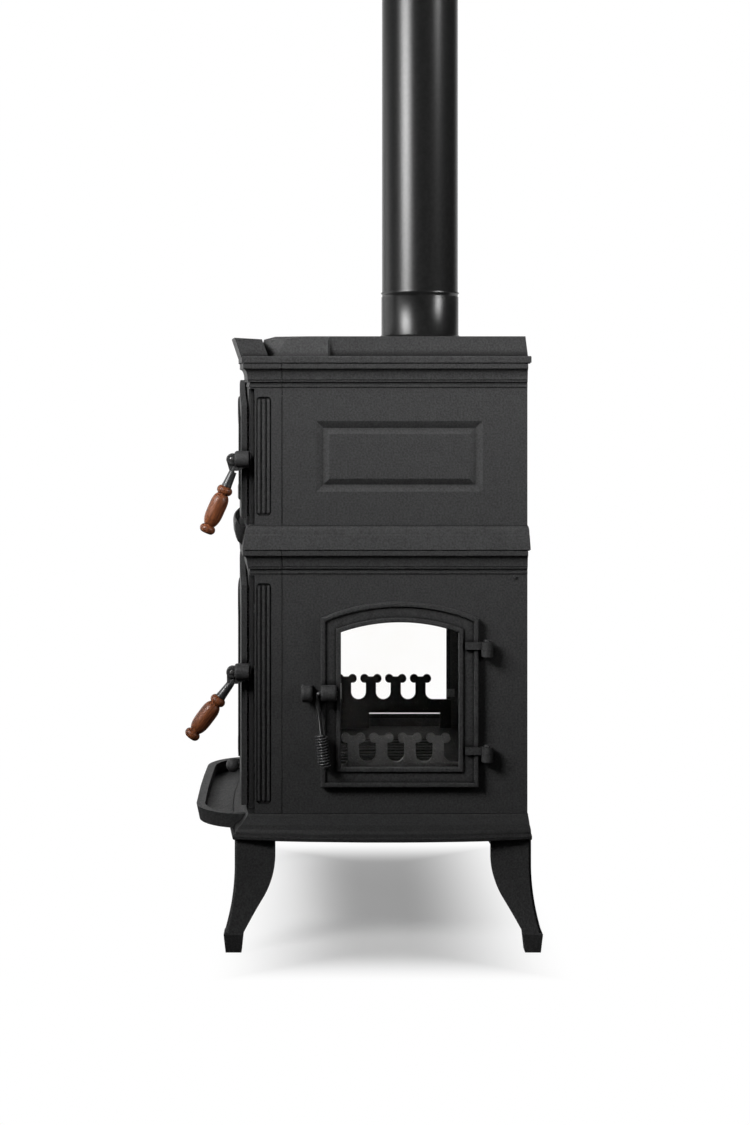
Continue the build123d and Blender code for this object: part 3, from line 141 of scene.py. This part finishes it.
floor_glow = 0.30
shadow_middle = 0.042
shadow_along = (0.03, 0.28)
shadow_across = (0.26, 0.42)
floor_behind = (-0.4, -1.2)
floor_paint, tree, shader = new_material("floor_paint")
shader.inputs["Base Color"].default_value = (0.5, 0.5, 0.5, 1)
shader.inputs["Roughness"].default_value = 0.9
shader.inputs["Specular IOR Level"].default_value = 0.0
shader.inputs["Emission Color"].default_value = (1, 1, 1, 1)
spot = tree.nodes.new("ShaderNodeTexCoord")
split = tree.nodes.new("ShaderNodeSeparateXYZ")
tree.links.new(spot.outputs["Object"], split.inputs[0])
on_view = seen_white(tree, split.outputs["X"], floor_behind)
tree.links.new(maths(tree, "MULTIPLY", on_view, floor_glow), shader.inputs["Emission Strength"])
# Painted shadow edges: round the stove's footprint the floor's white glow rises by position, so the
# lamps' shadow fades out softly towards the sides and ends.
off_middle = maths(tree, "SUBTRACT", split.outputs["Y"], shadow_middle)
past_end = fade(tree, maths(tree, "ABSOLUTE", off_middle), shadow_along)
past_side = fade(tree, maths(tree, "ABSOLUTE", split.outputs["X"]), shadow_across)
white = node(tree, "ShaderNodeEmission", Color=(1, 1, 1, 1))
tree.links.new(on_view, white.inputs["Strength"])
blended(tree, maths(tree, "MAXIMUM", past_side, past_end), shader, white, "Material Output")
floor_mesh.materials.append(floor_paint)

room_strength = 0.04
heading_behind = (-0.6, -1.0)
world = bpy.data.worlds.new("studio")
bpy.context.scene.world = world
world.use_nodes = True
tree = world.node_tree
room_light = tree.nodes["Background"]
room_light.inputs["Color"].default_value = (1, 1, 1, 1)
room_light.inputs["Strength"].default_value = room_strength
backdrop = node(tree, "ShaderNodeBackground", Color=(1, 1, 1, 1), Strength=1.0)
heading = tree.nodes.new("ShaderNodeTexCoord")
split = tree.nodes.new("ShaderNodeSeparateXYZ")
tree.links.new(heading.outputs["Generated"], split.inputs[0])
on_view = seen_white(tree, split.outputs["X"], heading_behind)
blended(tree, on_view, room_light, backdrop, "World Output")


def soft_box(name, place, aim, width, height, power, spread=180):
    """Rectangular lamp at a place, turned to the point that it lights."""
    lamp = bpy.data.lights.new(name, "AREA")
    lamp.shape = "RECTANGLE"
    lamp.size = width
    lamp.size_y = height
    lamp.energy = power
    lamp.spread = math.radians(spread)
    made = placed(name, lamp)
    made.location = place
    made.rotation_mode = "QUATERNION"
    made.rotation_quaternion = (Vector(aim) - Vector(place)).to_track_quat("-Z", "Y")


soft_box("overhead", place=(0.1, 0.0, 3.3), aim=(0.0, 0.0, 0.6), width=1.4, height=1.4, power=1.2)
soft_box("key", place=(1.75, -1.9, 2.6), aim=(0.24, -0.12, 1.2), width=1.5, height=1.5, power=12.0,
         spread=40)
soft_box("strip_front", place=(0.9, -1.9, 1.75), aim=(0.0, 0.06, 1.45), width=0.7, height=1.5,
         power=1.2, spread=80)
soft_box("strip_rear", place=(1.35, 1.9, 1.8), aim=(0.0, 0.06, 1.5), width=0.7, height=1.5,
         power=4.8, spread=38)
soft_box("rim_front", place=(-1.0, -2.3, 1.4), aim=(0.0, 0.0, 0.9), width=2.2, height=1.8, power=16)

camera_data = bpy.data.cameras.new("camera")
camera_data.lens = 58.9
camera_data.sensor_width = 36.0
camera_data.shift_x = 0.0464
camera_data.shift_y = -0.156
camera = placed("camera", camera_data)
camera.location = (3.16, -0.0625, 0.886)
camera.rotation_mode = "QUATERNION"
camera.rotation_quaternion = Vector((-1, 0, 0)).to_track_quat("-Z", "Y")
bpy.context.scene.camera = camera
bpy.context.scene.view_settings.view_transform = "Standard"


# Base with its legs: grey iron cast in sand, an ogee edge on the base and four angle legs
# bolted up to it from below. All is sprayed with matt black stove paint, which leaves the
# grain of the moulding sand showing.
def object_noise(tree, **values):
    """Noise that is fixed to the piece, as a value round a half."""
    noise = node(tree, "ShaderNodeTexNoise", **values)
    place = tree.nodes.new("ShaderNodeTexCoord")
    tree.links.new(place.outputs["Object"], noise.inputs["Vector"])
    return noise


def sand_grain_group():
    """Grain of a sand casting: fine pits over soft lumps, as a height and a shade."""
    tree = bpy.data.node_groups.new("sand_grain", "ShaderNodeTree")
    for name, value in (("Grain Size", 0.003), ("Lump Size", 0.02)):
        socket = tree.interface.new_socket(name, in_out="INPUT", socket_type="NodeSocketFloat")
        socket.default_value = value
    for name in ("Height", "Shade"):
        tree.interface.new_socket(name, in_out="OUTPUT", socket_type="NodeSocketFloat")
    start = tree.nodes.new("NodeGroupInput")
    end = tree.nodes.new("NodeGroupOutput")
    noises = []
    for name, detail in (("Grain Size", 2.0), ("Lump Size", 4.0)):
        noise = object_noise(tree, Detail=detail, Roughness=0.6)
        tree.links.new(maths(tree, "DIVIDE", 1.0, start.outputs[name]), noise.inputs["Scale"])
        noises.append(noise.outputs["Fac"])
    for name, lump_share in (("Height", 0.12), ("Shade", 0.2)):
        mix = node(tree, "ShaderNodeMix", Factor=lump_share)
        tree.links.new(noises[0], mix.inputs["A"])
        tree.links.new(noises[1], mix.inputs["B"])
        tree.links.new(mix.outputs["Result"], end.inputs[name])
    return tree


sand_grain = sand_grain_group()
noise_span = (0.35, 0.65)


def grain_of(tree, size):
    """The sand grain in a material, with grains of the given size."""
    group = tree.nodes.new("ShaderNodeGroup")
    group.node_tree = sand_grain
    group.inputs["Grain Size"].default_value = size
    return group.outputs["Shade"], group.outputs["Height"]


def ramp(tree, value, dark, light, span=noise_span):
    """Colour between two shades by a value."""
    made = tree.nodes.new("ShaderNodeValToRGB")
    for stop, place, shade in zip(made.color_ramp.elements, span, (dark, light)):
        stop.position = place
        stop.color = (*shade, 1)
    tree.links.new(value, made.inputs["Fac"])
    return made.outputs["Color"]


def roughened(tree, shader, value, rough_span, span=noise_span):
    """Roughness of a shader by a value."""
    tree.links.new(remap(tree, value, span, rough_span), shader.inputs["Roughness"])


def raised(tree, shader, height, depth, strength=0.6):
    """Bump on a shader from a height."""
    bump = node(tree, "ShaderNodeBump", Strength=strength, Distance=depth)
    tree.links.new(height, bump.inputs["Height"])
    tree.links.new(bump.outputs["Normal"], shader.inputs["Normal"])


def iron_paint(name, dark, light, rough, grain, depth, gloss, own_shade_only=True):
    """Painted iron whose colour, roughness and bump follow the sand grain, with painted shade that
    darkens its corners and creases.
    """
    corner_reach = 0.012
    corner_span = (0.55, 1.0)
    painted_corner_shade = 0.12
    rough_play = 0.06
    made, tree, shader = new_material(name)
    shader.inputs["Specular IOR Level"].default_value = gloss
    shade, height = grain_of(tree, grain)
    # Painted shade: ambient occlusion darkens the colour in the piece's corners and creases, and
    # also next to other parts unless only the piece itself counts.
    corner = node(tree, "ShaderNodeAmbientOcclusion", Distance=corner_reach)
    corner.samples = 6
    corner.only_local = own_shade_only
    mix = tree.nodes.new("ShaderNodeMix")
    mix.data_type = "RGBA"
    mix.inputs["A"].default_value = (*[painted_corner_shade * part for part in dark], 1)
    tree.links.new(remap(tree, corner.outputs["AO"], corner_span, (0.0, 1.0)), mix.inputs["Factor"])
    tree.links.new(ramp(tree, shade, dark, light), mix.inputs["B"])
    tree.links.new(mix.outputs["Result"], shader.inputs["Base Color"])
    roughened(tree, shader, shade, (rough + rough_play, rough - rough_play))
    raised(tree, shader, height, depth)
    return made


def joined_shape(name):
    """Shape of a CAD node with its loose triangles joined."""
    shape = bmesh.new()
    shape.from_mesh(frame["nodes"][name].data)
    bmesh.ops.remove_doubles(shape, verts=shape.verts, dist=1e-6)
    return shape


def merged_mesh(name):
    """Mesh of a CAD node with its flat faces made whole."""
    shape = joined_shape(name)
    flat = math.radians(1)
    bmesh.ops.dissolve_limit(shape, angle_limit=flat, verts=shape.verts, edges=shape.edges)
    mesh = bpy.data.meshes.new(name + "_piece")
    shape.to_mesh(mesh)
    shape.free()
    return mesh


def smoothed(mesh, sharp):
    """Smooth shading up to the edges that turn by more than sharp degrees."""
    mesh.polygons.foreach_set("use_smooth", [True] * len(mesh.polygons))
    mesh.set_sharp_from_angle(angle=math.radians(sharp))
    return mesh


def plain_mesh(source):
    """Mesh of an object with its modifiers applied, in place of the object."""
    seen = source.evaluated_get(bpy.context.evaluated_depsgraph_get())
    mesh = bpy.data.meshes.new_from_object(seen)
    bpy.data.objects.remove(source)
    return mesh


def finished(mesh, name, material):
    """Puts a mesh in the place of its CAD node, with its material."""
    mesh.materials.clear()
    mesh.materials.append(material)
    made = placed(name + "_piece", mesh)
    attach(made, frame["nodes"][name]["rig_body"])
    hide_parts(name)


def casting(name, material, edge=0.0007, sharp=20):
    """A CAD casting with its edges eased as the sand leaves them."""
    rough = placed(name + "_rough", smoothed(merged_mesh(name), sharp))
    ease = rough.modifiers.new("eased_edge", "BEVEL")
    ease.width = edge
    ease.segments = 2
    ease.limit_method = "ANGLE"
    ease.angle_limit = math.radians(sharp)
    level = rough.modifiers.new("level_faces", "WEIGHTED_NORMAL")
    level.mode = "FACE_AREA"
    level.weight = 100
    level.keep_sharp = True
    finished(plain_mesh(rough), name, material)


def plain_piece(name, material, sharp=32):
    """A CAD piece kept as it is, with a material."""
    finished(smoothed(merged_mesh(name), sharp), name, material)


stove_dark = (0.030, 0.030, 0.0304)
stove_light = (0.056, 0.056, 0.0566)
# Painted shade: the base has the same stove paint as the rest, given darker colours here to stand
# in for the shade it lies in, with painted shade also where the legs and the lower storey meet it.
base_shade_dark = (0.020, 0.020, 0.0203)
base_shade_light = (0.038, 0.038, 0.0384)
cast_finish = {"rough": 0.55, "grain": 0.003, "depth": 0.0012, "gloss": 0.25}
stove_black = iron_paint("stove_black", stove_dark, stove_light, **cast_finish)
# The same stove paint, with its painted shade also falling where other parts meet the piece.
stove_black_joint_shade = iron_paint("stove_black_joint_shade", stove_dark, stove_light, **cast_finish, own_shade_only=False)
base_shade_black = iron_paint("base_shade_black", base_shade_dark, base_shade_light, **cast_finish, own_shade_only=False)
casting("base", base_shade_black)
for name in ("leg_front_left", "leg_front_right", "leg_rear_left", "leg_rear_right"):
    casting(name, stove_black)

# Bolts that hold the legs, and the four tie rods that clamp base, storeys and top together
# from inside: plain mild steel, dulled by heat.
dull_steel, tree, shader = new_material("dull_steel")
shader.inputs["Metallic"].default_value = 0.85
shade, _ = grain_of(tree, size=0.004)
steel_colour = ramp(tree, shade, (0.13, 0.13, 0.135), (0.22, 0.215, 0.21))
tree.links.new(steel_colour, shader.inputs["Base Color"])
roughened(tree, shader, shade, rough_span=(0.5, 0.32))
for name in ("leg_bolts", "tie_rods"):
    plain_piece(name, dull_steel)

# Ash lip: a shallow cast tray with a raised rim, fitted to the edge of the base in front of the
# firebox door, where it catches what falls out.
casting("ash_lip", stove_black)

# Lower storey: a bowed front casting with the door opening and fluted corners, two side
# castings with the window openings, and a flat rear casting. They stand on the base and are
# drawn together by the tie rods and two screws.
for name in ("front_frame_lower", "side_panel_lower_left", "side_panel_lower_right",
             "rear_panel_lower", "panel_screws"):
    casting(name, stove_black)

# Firebox: bare castings blackened by soot and painted darker still as shade, with a pale film of
# ash: the floor and its grate, a ribbed rear liner, a baffle plate above, and toothed guards that
# keep the logs off the panes. The right guard is painted lighter than the castings behind it, as
# painted light: the guard is lit and the rest lies in shade. The ash pan below is folded from sheet
# steel.
fired_iron, tree, shader = new_material("fired_iron")
shader.inputs["Specular IOR Level"].default_value = 0.15
shade, height = grain_of(tree, size=0.0025)
# Soot, darkened further as painted shade of the firebox's inside.
soot_and_shade = ramp(tree, shade, (0.006, 0.006, 0.006), (0.016, 0.0155, 0.015))
ash_film = object_noise(tree, Scale=14.0, Detail=5.0, Roughness=0.65)
ash_share = remap(tree, ash_film.outputs["Fac"], from_span=(0.55, 0.75), to_span=(0.0, 0.35))
mix = tree.nodes.new("ShaderNodeMix")
mix.data_type = "RGBA"
tree.links.new(ash_share, mix.inputs["Factor"])
tree.links.new(soot_and_shade, mix.inputs["A"])
mix.inputs["B"].default_value = (0.055, 0.052, 0.047, 1)
tree.links.new(mix.outputs["Result"], shader.inputs["Base Color"])
roughened(tree, shader, shade, rough_span=(0.82, 0.66))
raised(tree, shader, height, depth=0.0008)
for name in ("firebox_floor", "grate", "log_guard_left", "rear_liner", "baffle"):
    casting(name, fired_iron)
# Painted light: a lighter copy of the same firebox iron for the lit right guard.
lit_guard_iron = iron_paint("lit_guard_iron", (0.020, 0.020, 0.020), (0.040, 0.0395, 0.039),
                        rough=0.6, grain=0.0025, depth=0.0008, gloss=0.25)
casting("log_guard_right", lit_guard_iron)
sheet_steel = iron_paint("sheet_steel", (0.016, 0.016, 0.0165), (0.028, 0.028, 0.0285),
                         rough=0.45, grain=0.006, depth=0.0001, gloss=0.4)
plain_piece("ash_pan", sheet_steel)

# Window of the left side: a fixed pane of clear glass ceramic, held from inside by four
# steel clips.
clear_pane, tree, shader = new_material("clear_pane")
shader.inputs["IOR"].default_value = 1.04
shader.inputs["Transmission Weight"].default_value = 1.0
haze = object_noise(tree, Scale=9.0, Detail=3.0).outputs["Fac"]
pane_tint = ramp(tree, haze, (0.985, 0.98, 0.97), (1, 1, 1))
tree.links.new(pane_tint, shader.inputs["Base Color"])
roughened(tree, shader, haze, rough_span=(0.02, 0.0))
plain_piece("left_window_glass", clear_pane)
plain_piece("left_window_clips", dull_steel)

# Firebox door: a bowed casting with a raised window frame, hung on loose pins. Its pane is
# clipped in from behind, and a rope of woven glass fibre seals it to the front casting.
casting("firebox_door", stove_black)
casting("firebox_hinge_pins", stove_black, edge=0.0004)
plain_piece("firebox_door_glass", clear_pane)
plain_piece("firebox_door_clips", dull_steel)
seal_rope, tree, shader = new_material("seal_rope")
shader.inputs["Specular IOR Level"].default_value = 0.1
shader.inputs["Roughness"].default_value = 0.92
place = tree.nodes.new("ShaderNodeTexCoord")
strands = []
for lean in (0.7, -0.7):
    turn = node(tree, "ShaderNodeMapping", Rotation=(lean, lean, 0.3))
    tree.links.new(place.outputs["Object"], turn.inputs["Vector"])
    strand = node(tree, "ShaderNodeTexWave", Scale=90.0, Distortion=0.6, Detail=1.0)
    tree.links.new(turn.outputs["Vector"], strand.inputs["Vector"])
    strands.append(strand.outputs["Fac"])
weave = maths(tree, "MULTIPLY", strands[0], strands[1])
rope_colour = ramp(tree, weave, (0.020, 0.020, 0.019), (0.085, 0.083, 0.078), span=(0.1, 0.8))
tree.links.new(rope_colour, shader.inputs["Base Color"])
raised(tree, shader, weave, depth=0.0012, strength=0.8)
plain_piece("firebox_door_gasket", seal_rope)


# Handles of the two front doors: an iron spindle with an eye, a steel ferrule, and a grip
# turned from oiled beech stained red-brown. The spindle turns a cam behind the door's edge.
def turned_wood(name, tilt):
    """Stained wood whose grain runs along a handle that leans by tilt degrees."""
    wood_span = (0.36, 0.64)
    ring_share = 0.75
    made, tree, shader = new_material(name)
    shader.inputs["Specular IOR Level"].default_value = 0.4
    place = tree.nodes.new("ShaderNodeTexCoord")
    turn = node(tree, "ShaderNodeMapping", Rotation=(math.radians(tilt), 0, 0))
    tree.links.new(place.outputs["Object"], turn.inputs["Vector"])
    stretch = node(tree, "ShaderNodeMapping", Scale=(1.0, 1.0, 0.08))
    tree.links.new(turn.outputs["Vector"], stretch.inputs["Vector"])
    rings = node(tree, "ShaderNodeTexNoise", Scale=230.0, Detail=4.0, Roughness=0.55,
                 Distortion=0.8)
    pores = node(tree, "ShaderNodeTexNoise", Scale=1400.0, Detail=2.0)
    for noise in (rings, pores):
        tree.links.new(stretch.outputs["Vector"], noise.inputs["Vector"])
    grain = maths(tree, "ADD", maths(tree, "MULTIPLY", rings.outputs["Fac"], ring_share),
                  maths(tree, "MULTIPLY", pores.outputs["Fac"], 1 - ring_share))
    wood_colour = ramp(tree, grain, (0.08, 0.023, 0.009), (0.30, 0.097, 0.037), span=wood_span)
    tree.links.new(wood_colour, shader.inputs["Base Color"])
    roughened(tree, shader, grain, rough_span=(0.5, 0.34), span=wood_span)
    raised(tree, shader, grain, depth=0.0002)
    return made


black_steel = iron_paint("black_steel", (0.020, 0.020, 0.0205), (0.034, 0.034, 0.0345),
                         rough=0.36, grain=0.005, depth=0.0001, gloss=0.6)
for handle, tilt in (("firebox_handle", 37), ("oven_handle", 24)):
    casting(handle + "_lever", stove_black, edge=0.0005)
    casting(handle + "_cam", stove_black, edge=0.0004)
    plain_piece(handle + "_ferrule", black_steel)
    plain_piece(handle + "_grip", turned_wood(handle + "_wood", tilt), sharp=50)

# Air control of the firebox door: a steel rod with a shutter plate behind the two air holes,
# pulled by a cast ball knob.
plain_piece("air_rod", black_steel)
plain_piece("air_knob", stove_black)

# Mid shelf and upper storey: the shelf with its scooped lip caps the firebox, and the castings
# of the oven storey stand on it, with a fielded panel in each side.
# The shelf carries painted shade where the castings above and below meet it.
casting("mid_shelf", stove_black_joint_shade)
for name in ("front_frame_upper", "side_panel_upper_left", "side_panel_upper_right",
             "rear_panel_upper"):
    casting(name, stove_black)

# Oven: a box folded and welded from sheet steel, a rack of drawn wire, and a bowed cast door
# with a rope seal that hangs on loose pins.
plain_piece("oven_liner", sheet_steel)
plain_piece("oven_rack", dull_steel)
casting("oven_door", stove_black)
casting("oven_hinge_pins", stove_black, edge=0.0004)
plain_piece("oven_door_gasket", seal_rope)

# Loading door on the right side: an arched casting with two beads round its pane, hung on
# loose pins. Its latch is a bent rod with a grip of coiled wire, which stays cool, beside a
# round keeper on the side casting.
casting("loading_door", stove_black)
casting("latch_keeper", stove_black)
casting("loading_hinge_pins", stove_black, edge=0.0004)
plain_piece("loading_door_glass", clear_pane)
plain_piece("loading_door_clips", dull_steel)
plain_piece("loading_door_gasket", seal_rope)
plain_piece("latch_lever", black_steel)
coil_steel = iron_paint("coil_steel", (0.045, 0.045, 0.046), (0.075, 0.075, 0.076),
                        rough=0.34, grain=0.004, depth=0.0001, gloss=0.8)
plain_piece("latch_coil_grip", coil_steel)

# Top plate: one casting with a crown moulding that flares at the front and a raised cooking
# plateau, bolted down by the tie rods.
casting("top_plate", stove_black)

# Flue: a cast collar on the top plate and the first length of rolled steel pipe with a bead
# ring, both in satin black enamel with a faint orange peel.
flue_satin, tree, shader = new_material("flue_satin")
shader.inputs["Specular IOR Level"].default_value = 0.32
peel = object_noise(tree, Scale=160.0, Detail=2.0).outputs["Fac"]
enamel = ramp(tree, peel, (0.006, 0.006, 0.006), (0.010, 0.010, 0.010))
tree.links.new(enamel, shader.inputs["Base Color"])
roughened(tree, shader, peel, rough_span=(0.29, 0.275))
raised(tree, shader, peel, depth=0.00008, strength=0.4)
for name in ("flue_collar", "flue_pipe"):
    plain_piece(name, flue_satin)


# Fasteners: a slotted round-head screw through each pane clip, and the ends of the pins in the
# eyes of the two handles, all turned from steel.
def fastener_tree():
    """Geometry nodes that set a slotted round head on every point, turned to its facing."""
    slot_length = 0.02
    tree = bpy.data.node_groups.new("round_heads", "GeometryNodeTree")
    tree.interface.new_socket("Places", in_out="INPUT", socket_type="NodeSocketGeometry")
    for name, value in (("Head Radius", 0.0035), ("Head Height", 0.0018), ("Slot Width", 0.0008)):
        socket = tree.interface.new_socket(name, in_out="INPUT", socket_type="NodeSocketFloat")
        socket.default_value = value
    tree.interface.new_socket("Finish", in_out="INPUT", socket_type="NodeSocketMaterial")
    tree.interface.new_socket("Heads", in_out="OUTPUT", socket_type="NodeSocketGeometry")
    start = tree.nodes.new("NodeGroupInput")
    end = tree.nodes.new("NodeGroupOutput")
    ball = node(tree, "GeometryNodeMeshUVSphere", Segments=20, Rings=12, Radius=1.0)
    size = tree.nodes.new("ShaderNodeCombineXYZ")
    tree.links.new(start.outputs["Head Radius"], size.inputs["X"])
    tree.links.new(start.outputs["Head Radius"], size.inputs["Y"])
    tree.links.new(start.outputs["Head Height"], size.inputs["Z"])
    dome = tree.nodes.new("GeometryNodeTransform")
    tree.links.new(ball.outputs["Mesh"], dome.inputs["Geometry"])
    tree.links.new(size.outputs["Vector"], dome.inputs["Scale"])
    slot_size = node(tree, "ShaderNodeCombineXYZ", X=slot_length)
    tree.links.new(start.outputs["Slot Width"], slot_size.inputs["Y"])
    tree.links.new(start.outputs["Head Height"], slot_size.inputs["Z"])
    bar = tree.nodes.new("GeometryNodeMeshCube")
    tree.links.new(slot_size.outputs["Vector"], bar.inputs["Size"])
    lift = tree.nodes.new("ShaderNodeCombineXYZ")
    tree.links.new(start.outputs["Head Height"], lift.inputs["Z"])
    slot = tree.nodes.new("GeometryNodeTransform")
    tree.links.new(bar.outputs["Mesh"], slot.inputs["Geometry"])
    tree.links.new(lift.outputs["Vector"], slot.inputs["Translation"])
    cut = tree.nodes.new("GeometryNodeMeshBoolean")
    cut.operation = "DIFFERENCE"
    cut.solver = "EXACT"
    tree.links.new(dome.outputs["Geometry"], cut.inputs["Mesh 1"])
    tree.links.new(slot.outputs["Geometry"], cut.inputs["Mesh 2"])
    facing = node(tree, "GeometryNodeInputNamedAttribute", Name="facing")
    facing.data_type = "FLOAT_VECTOR"
    upright = tree.nodes.new("FunctionNodeAlignRotationToVector")
    upright.axis = "Z"
    tree.links.new(facing.outputs["Attribute"], upright.inputs["Vector"])
    heads = tree.nodes.new("GeometryNodeInstanceOnPoints")
    tree.links.new(start.outputs["Places"], heads.inputs["Points"])
    tree.links.new(cut.outputs["Mesh"], heads.inputs["Instance"])
    tree.links.new(upright.outputs["Rotation"], heads.inputs["Rotation"])
    twist = node(tree, "FunctionNodeRandomValue", Seed=7)
    twist.data_type = "FLOAT_VECTOR"
    twist.inputs["Min"].default_value = (0, 0, 0)
    twist.inputs["Max"].default_value = (0, 0, math.pi)
    turned = tree.nodes.new("GeometryNodeRotateInstances")
    tree.links.new(heads.outputs["Instances"], turned.inputs["Instances"])
    tree.links.new(twist.outputs["Value"], turned.inputs["Rotation"])
    real = tree.nodes.new("GeometryNodeRealizeInstances")
    tree.links.new(turned.outputs["Instances"], real.inputs["Geometry"])
    finish = tree.nodes.new("GeometryNodeSetMaterial")
    tree.links.new(real.outputs["Geometry"], finish.inputs["Geometry"])
    tree.links.new(start.outputs["Finish"], finish.inputs["Material"])
    tree.links.new(finish.outputs["Geometry"], end.inputs["Heads"])
    return tree


round_heads = fastener_tree()


def box_of(points):
    """Lowest and highest corners of a set of points."""
    return [[fold(point[axis] for point in points) for axis in range(3)] for fold in (min, max)]


def loose_boxes(name):
    """Lowest and highest corners of each separate solid of a CAD node."""
    shape = joined_shape(name)
    boxes = []
    left = set(shape.verts)
    while left:
        queue = [left.pop()]
        points = []
        while queue:
            vert = queue.pop()
            points.append(vert.co.copy())
            for edge in vert.link_edges:
                other = edge.other_vert(vert)
                if other in left:
                    left.remove(other)
                    queue.append(other)
        boxes.append(box_of(points))
    shape.free()
    return sorted(boxes)


def set_heads(name, body, places, facing, radius, height):
    """One mesh of round heads on a body, at the given places."""
    slot_share = 0.24
    points = bpy.data.meshes.new(name)
    points.from_pydata(places, [], [])
    points.attributes.new("facing", "FLOAT_VECTOR", "POINT").data.foreach_set(
        "vector", [value for direction in facing for value in direction])
    seed = placed(name + "_places", points)
    nodes = seed.modifiers.new("heads", "NODES")
    nodes.node_group = round_heads
    values = {"Head Radius": radius, "Head Height": height, "Slot Width": slot_share * radius,
              "Finish": dull_steel}
    for item in round_heads.interface.items_tree:
        if item.name in values:
            nodes[item.identifier] = values[item.name]
    made = placed(name, smoothed(plain_mesh(seed), sharp=40))
    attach(made, body)


screw_radius = 0.0035
screw_height = 0.0018
for clips, body, direction in (("firebox_door_clips", "firebox_door", (0, 1, 0)),
                               ("loading_door_clips", "loading_door", (-1, 0, 0)),
                               ("left_window_clips", "stove_body", (1, 0, 0))):
    axis = [abs(value) for value in direction].index(1)
    places = []
    for low, high in loose_boxes(clips):
        place = [(a + b) / 2 for a, b in zip(low, high)]
        place[axis] = high[axis] if direction[axis] > 0 else low[axis]
        places.append(place)
    facing = [direction] * len(places)
    set_heads(clips + "_screws", body, places, facing, screw_radius, screw_height)
eye_radius = 0.0095
pin_radius = 0.0042
pin_height = 0.0016
for handle, eye_z in (("firebox_handle", 0.4312), ("oven_handle", 0.7707)):
    low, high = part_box(handle + "_lever")
    eye_y = low[1] + eye_radius
    places = [(low[0], eye_y, eye_z), (high[0], eye_y, eye_z)]
    facing = [(-1, 0, 0), (1, 0, 0)]
    set_heads(handle + "_pin_heads", handle, places, facing, pin_radius, pin_height)
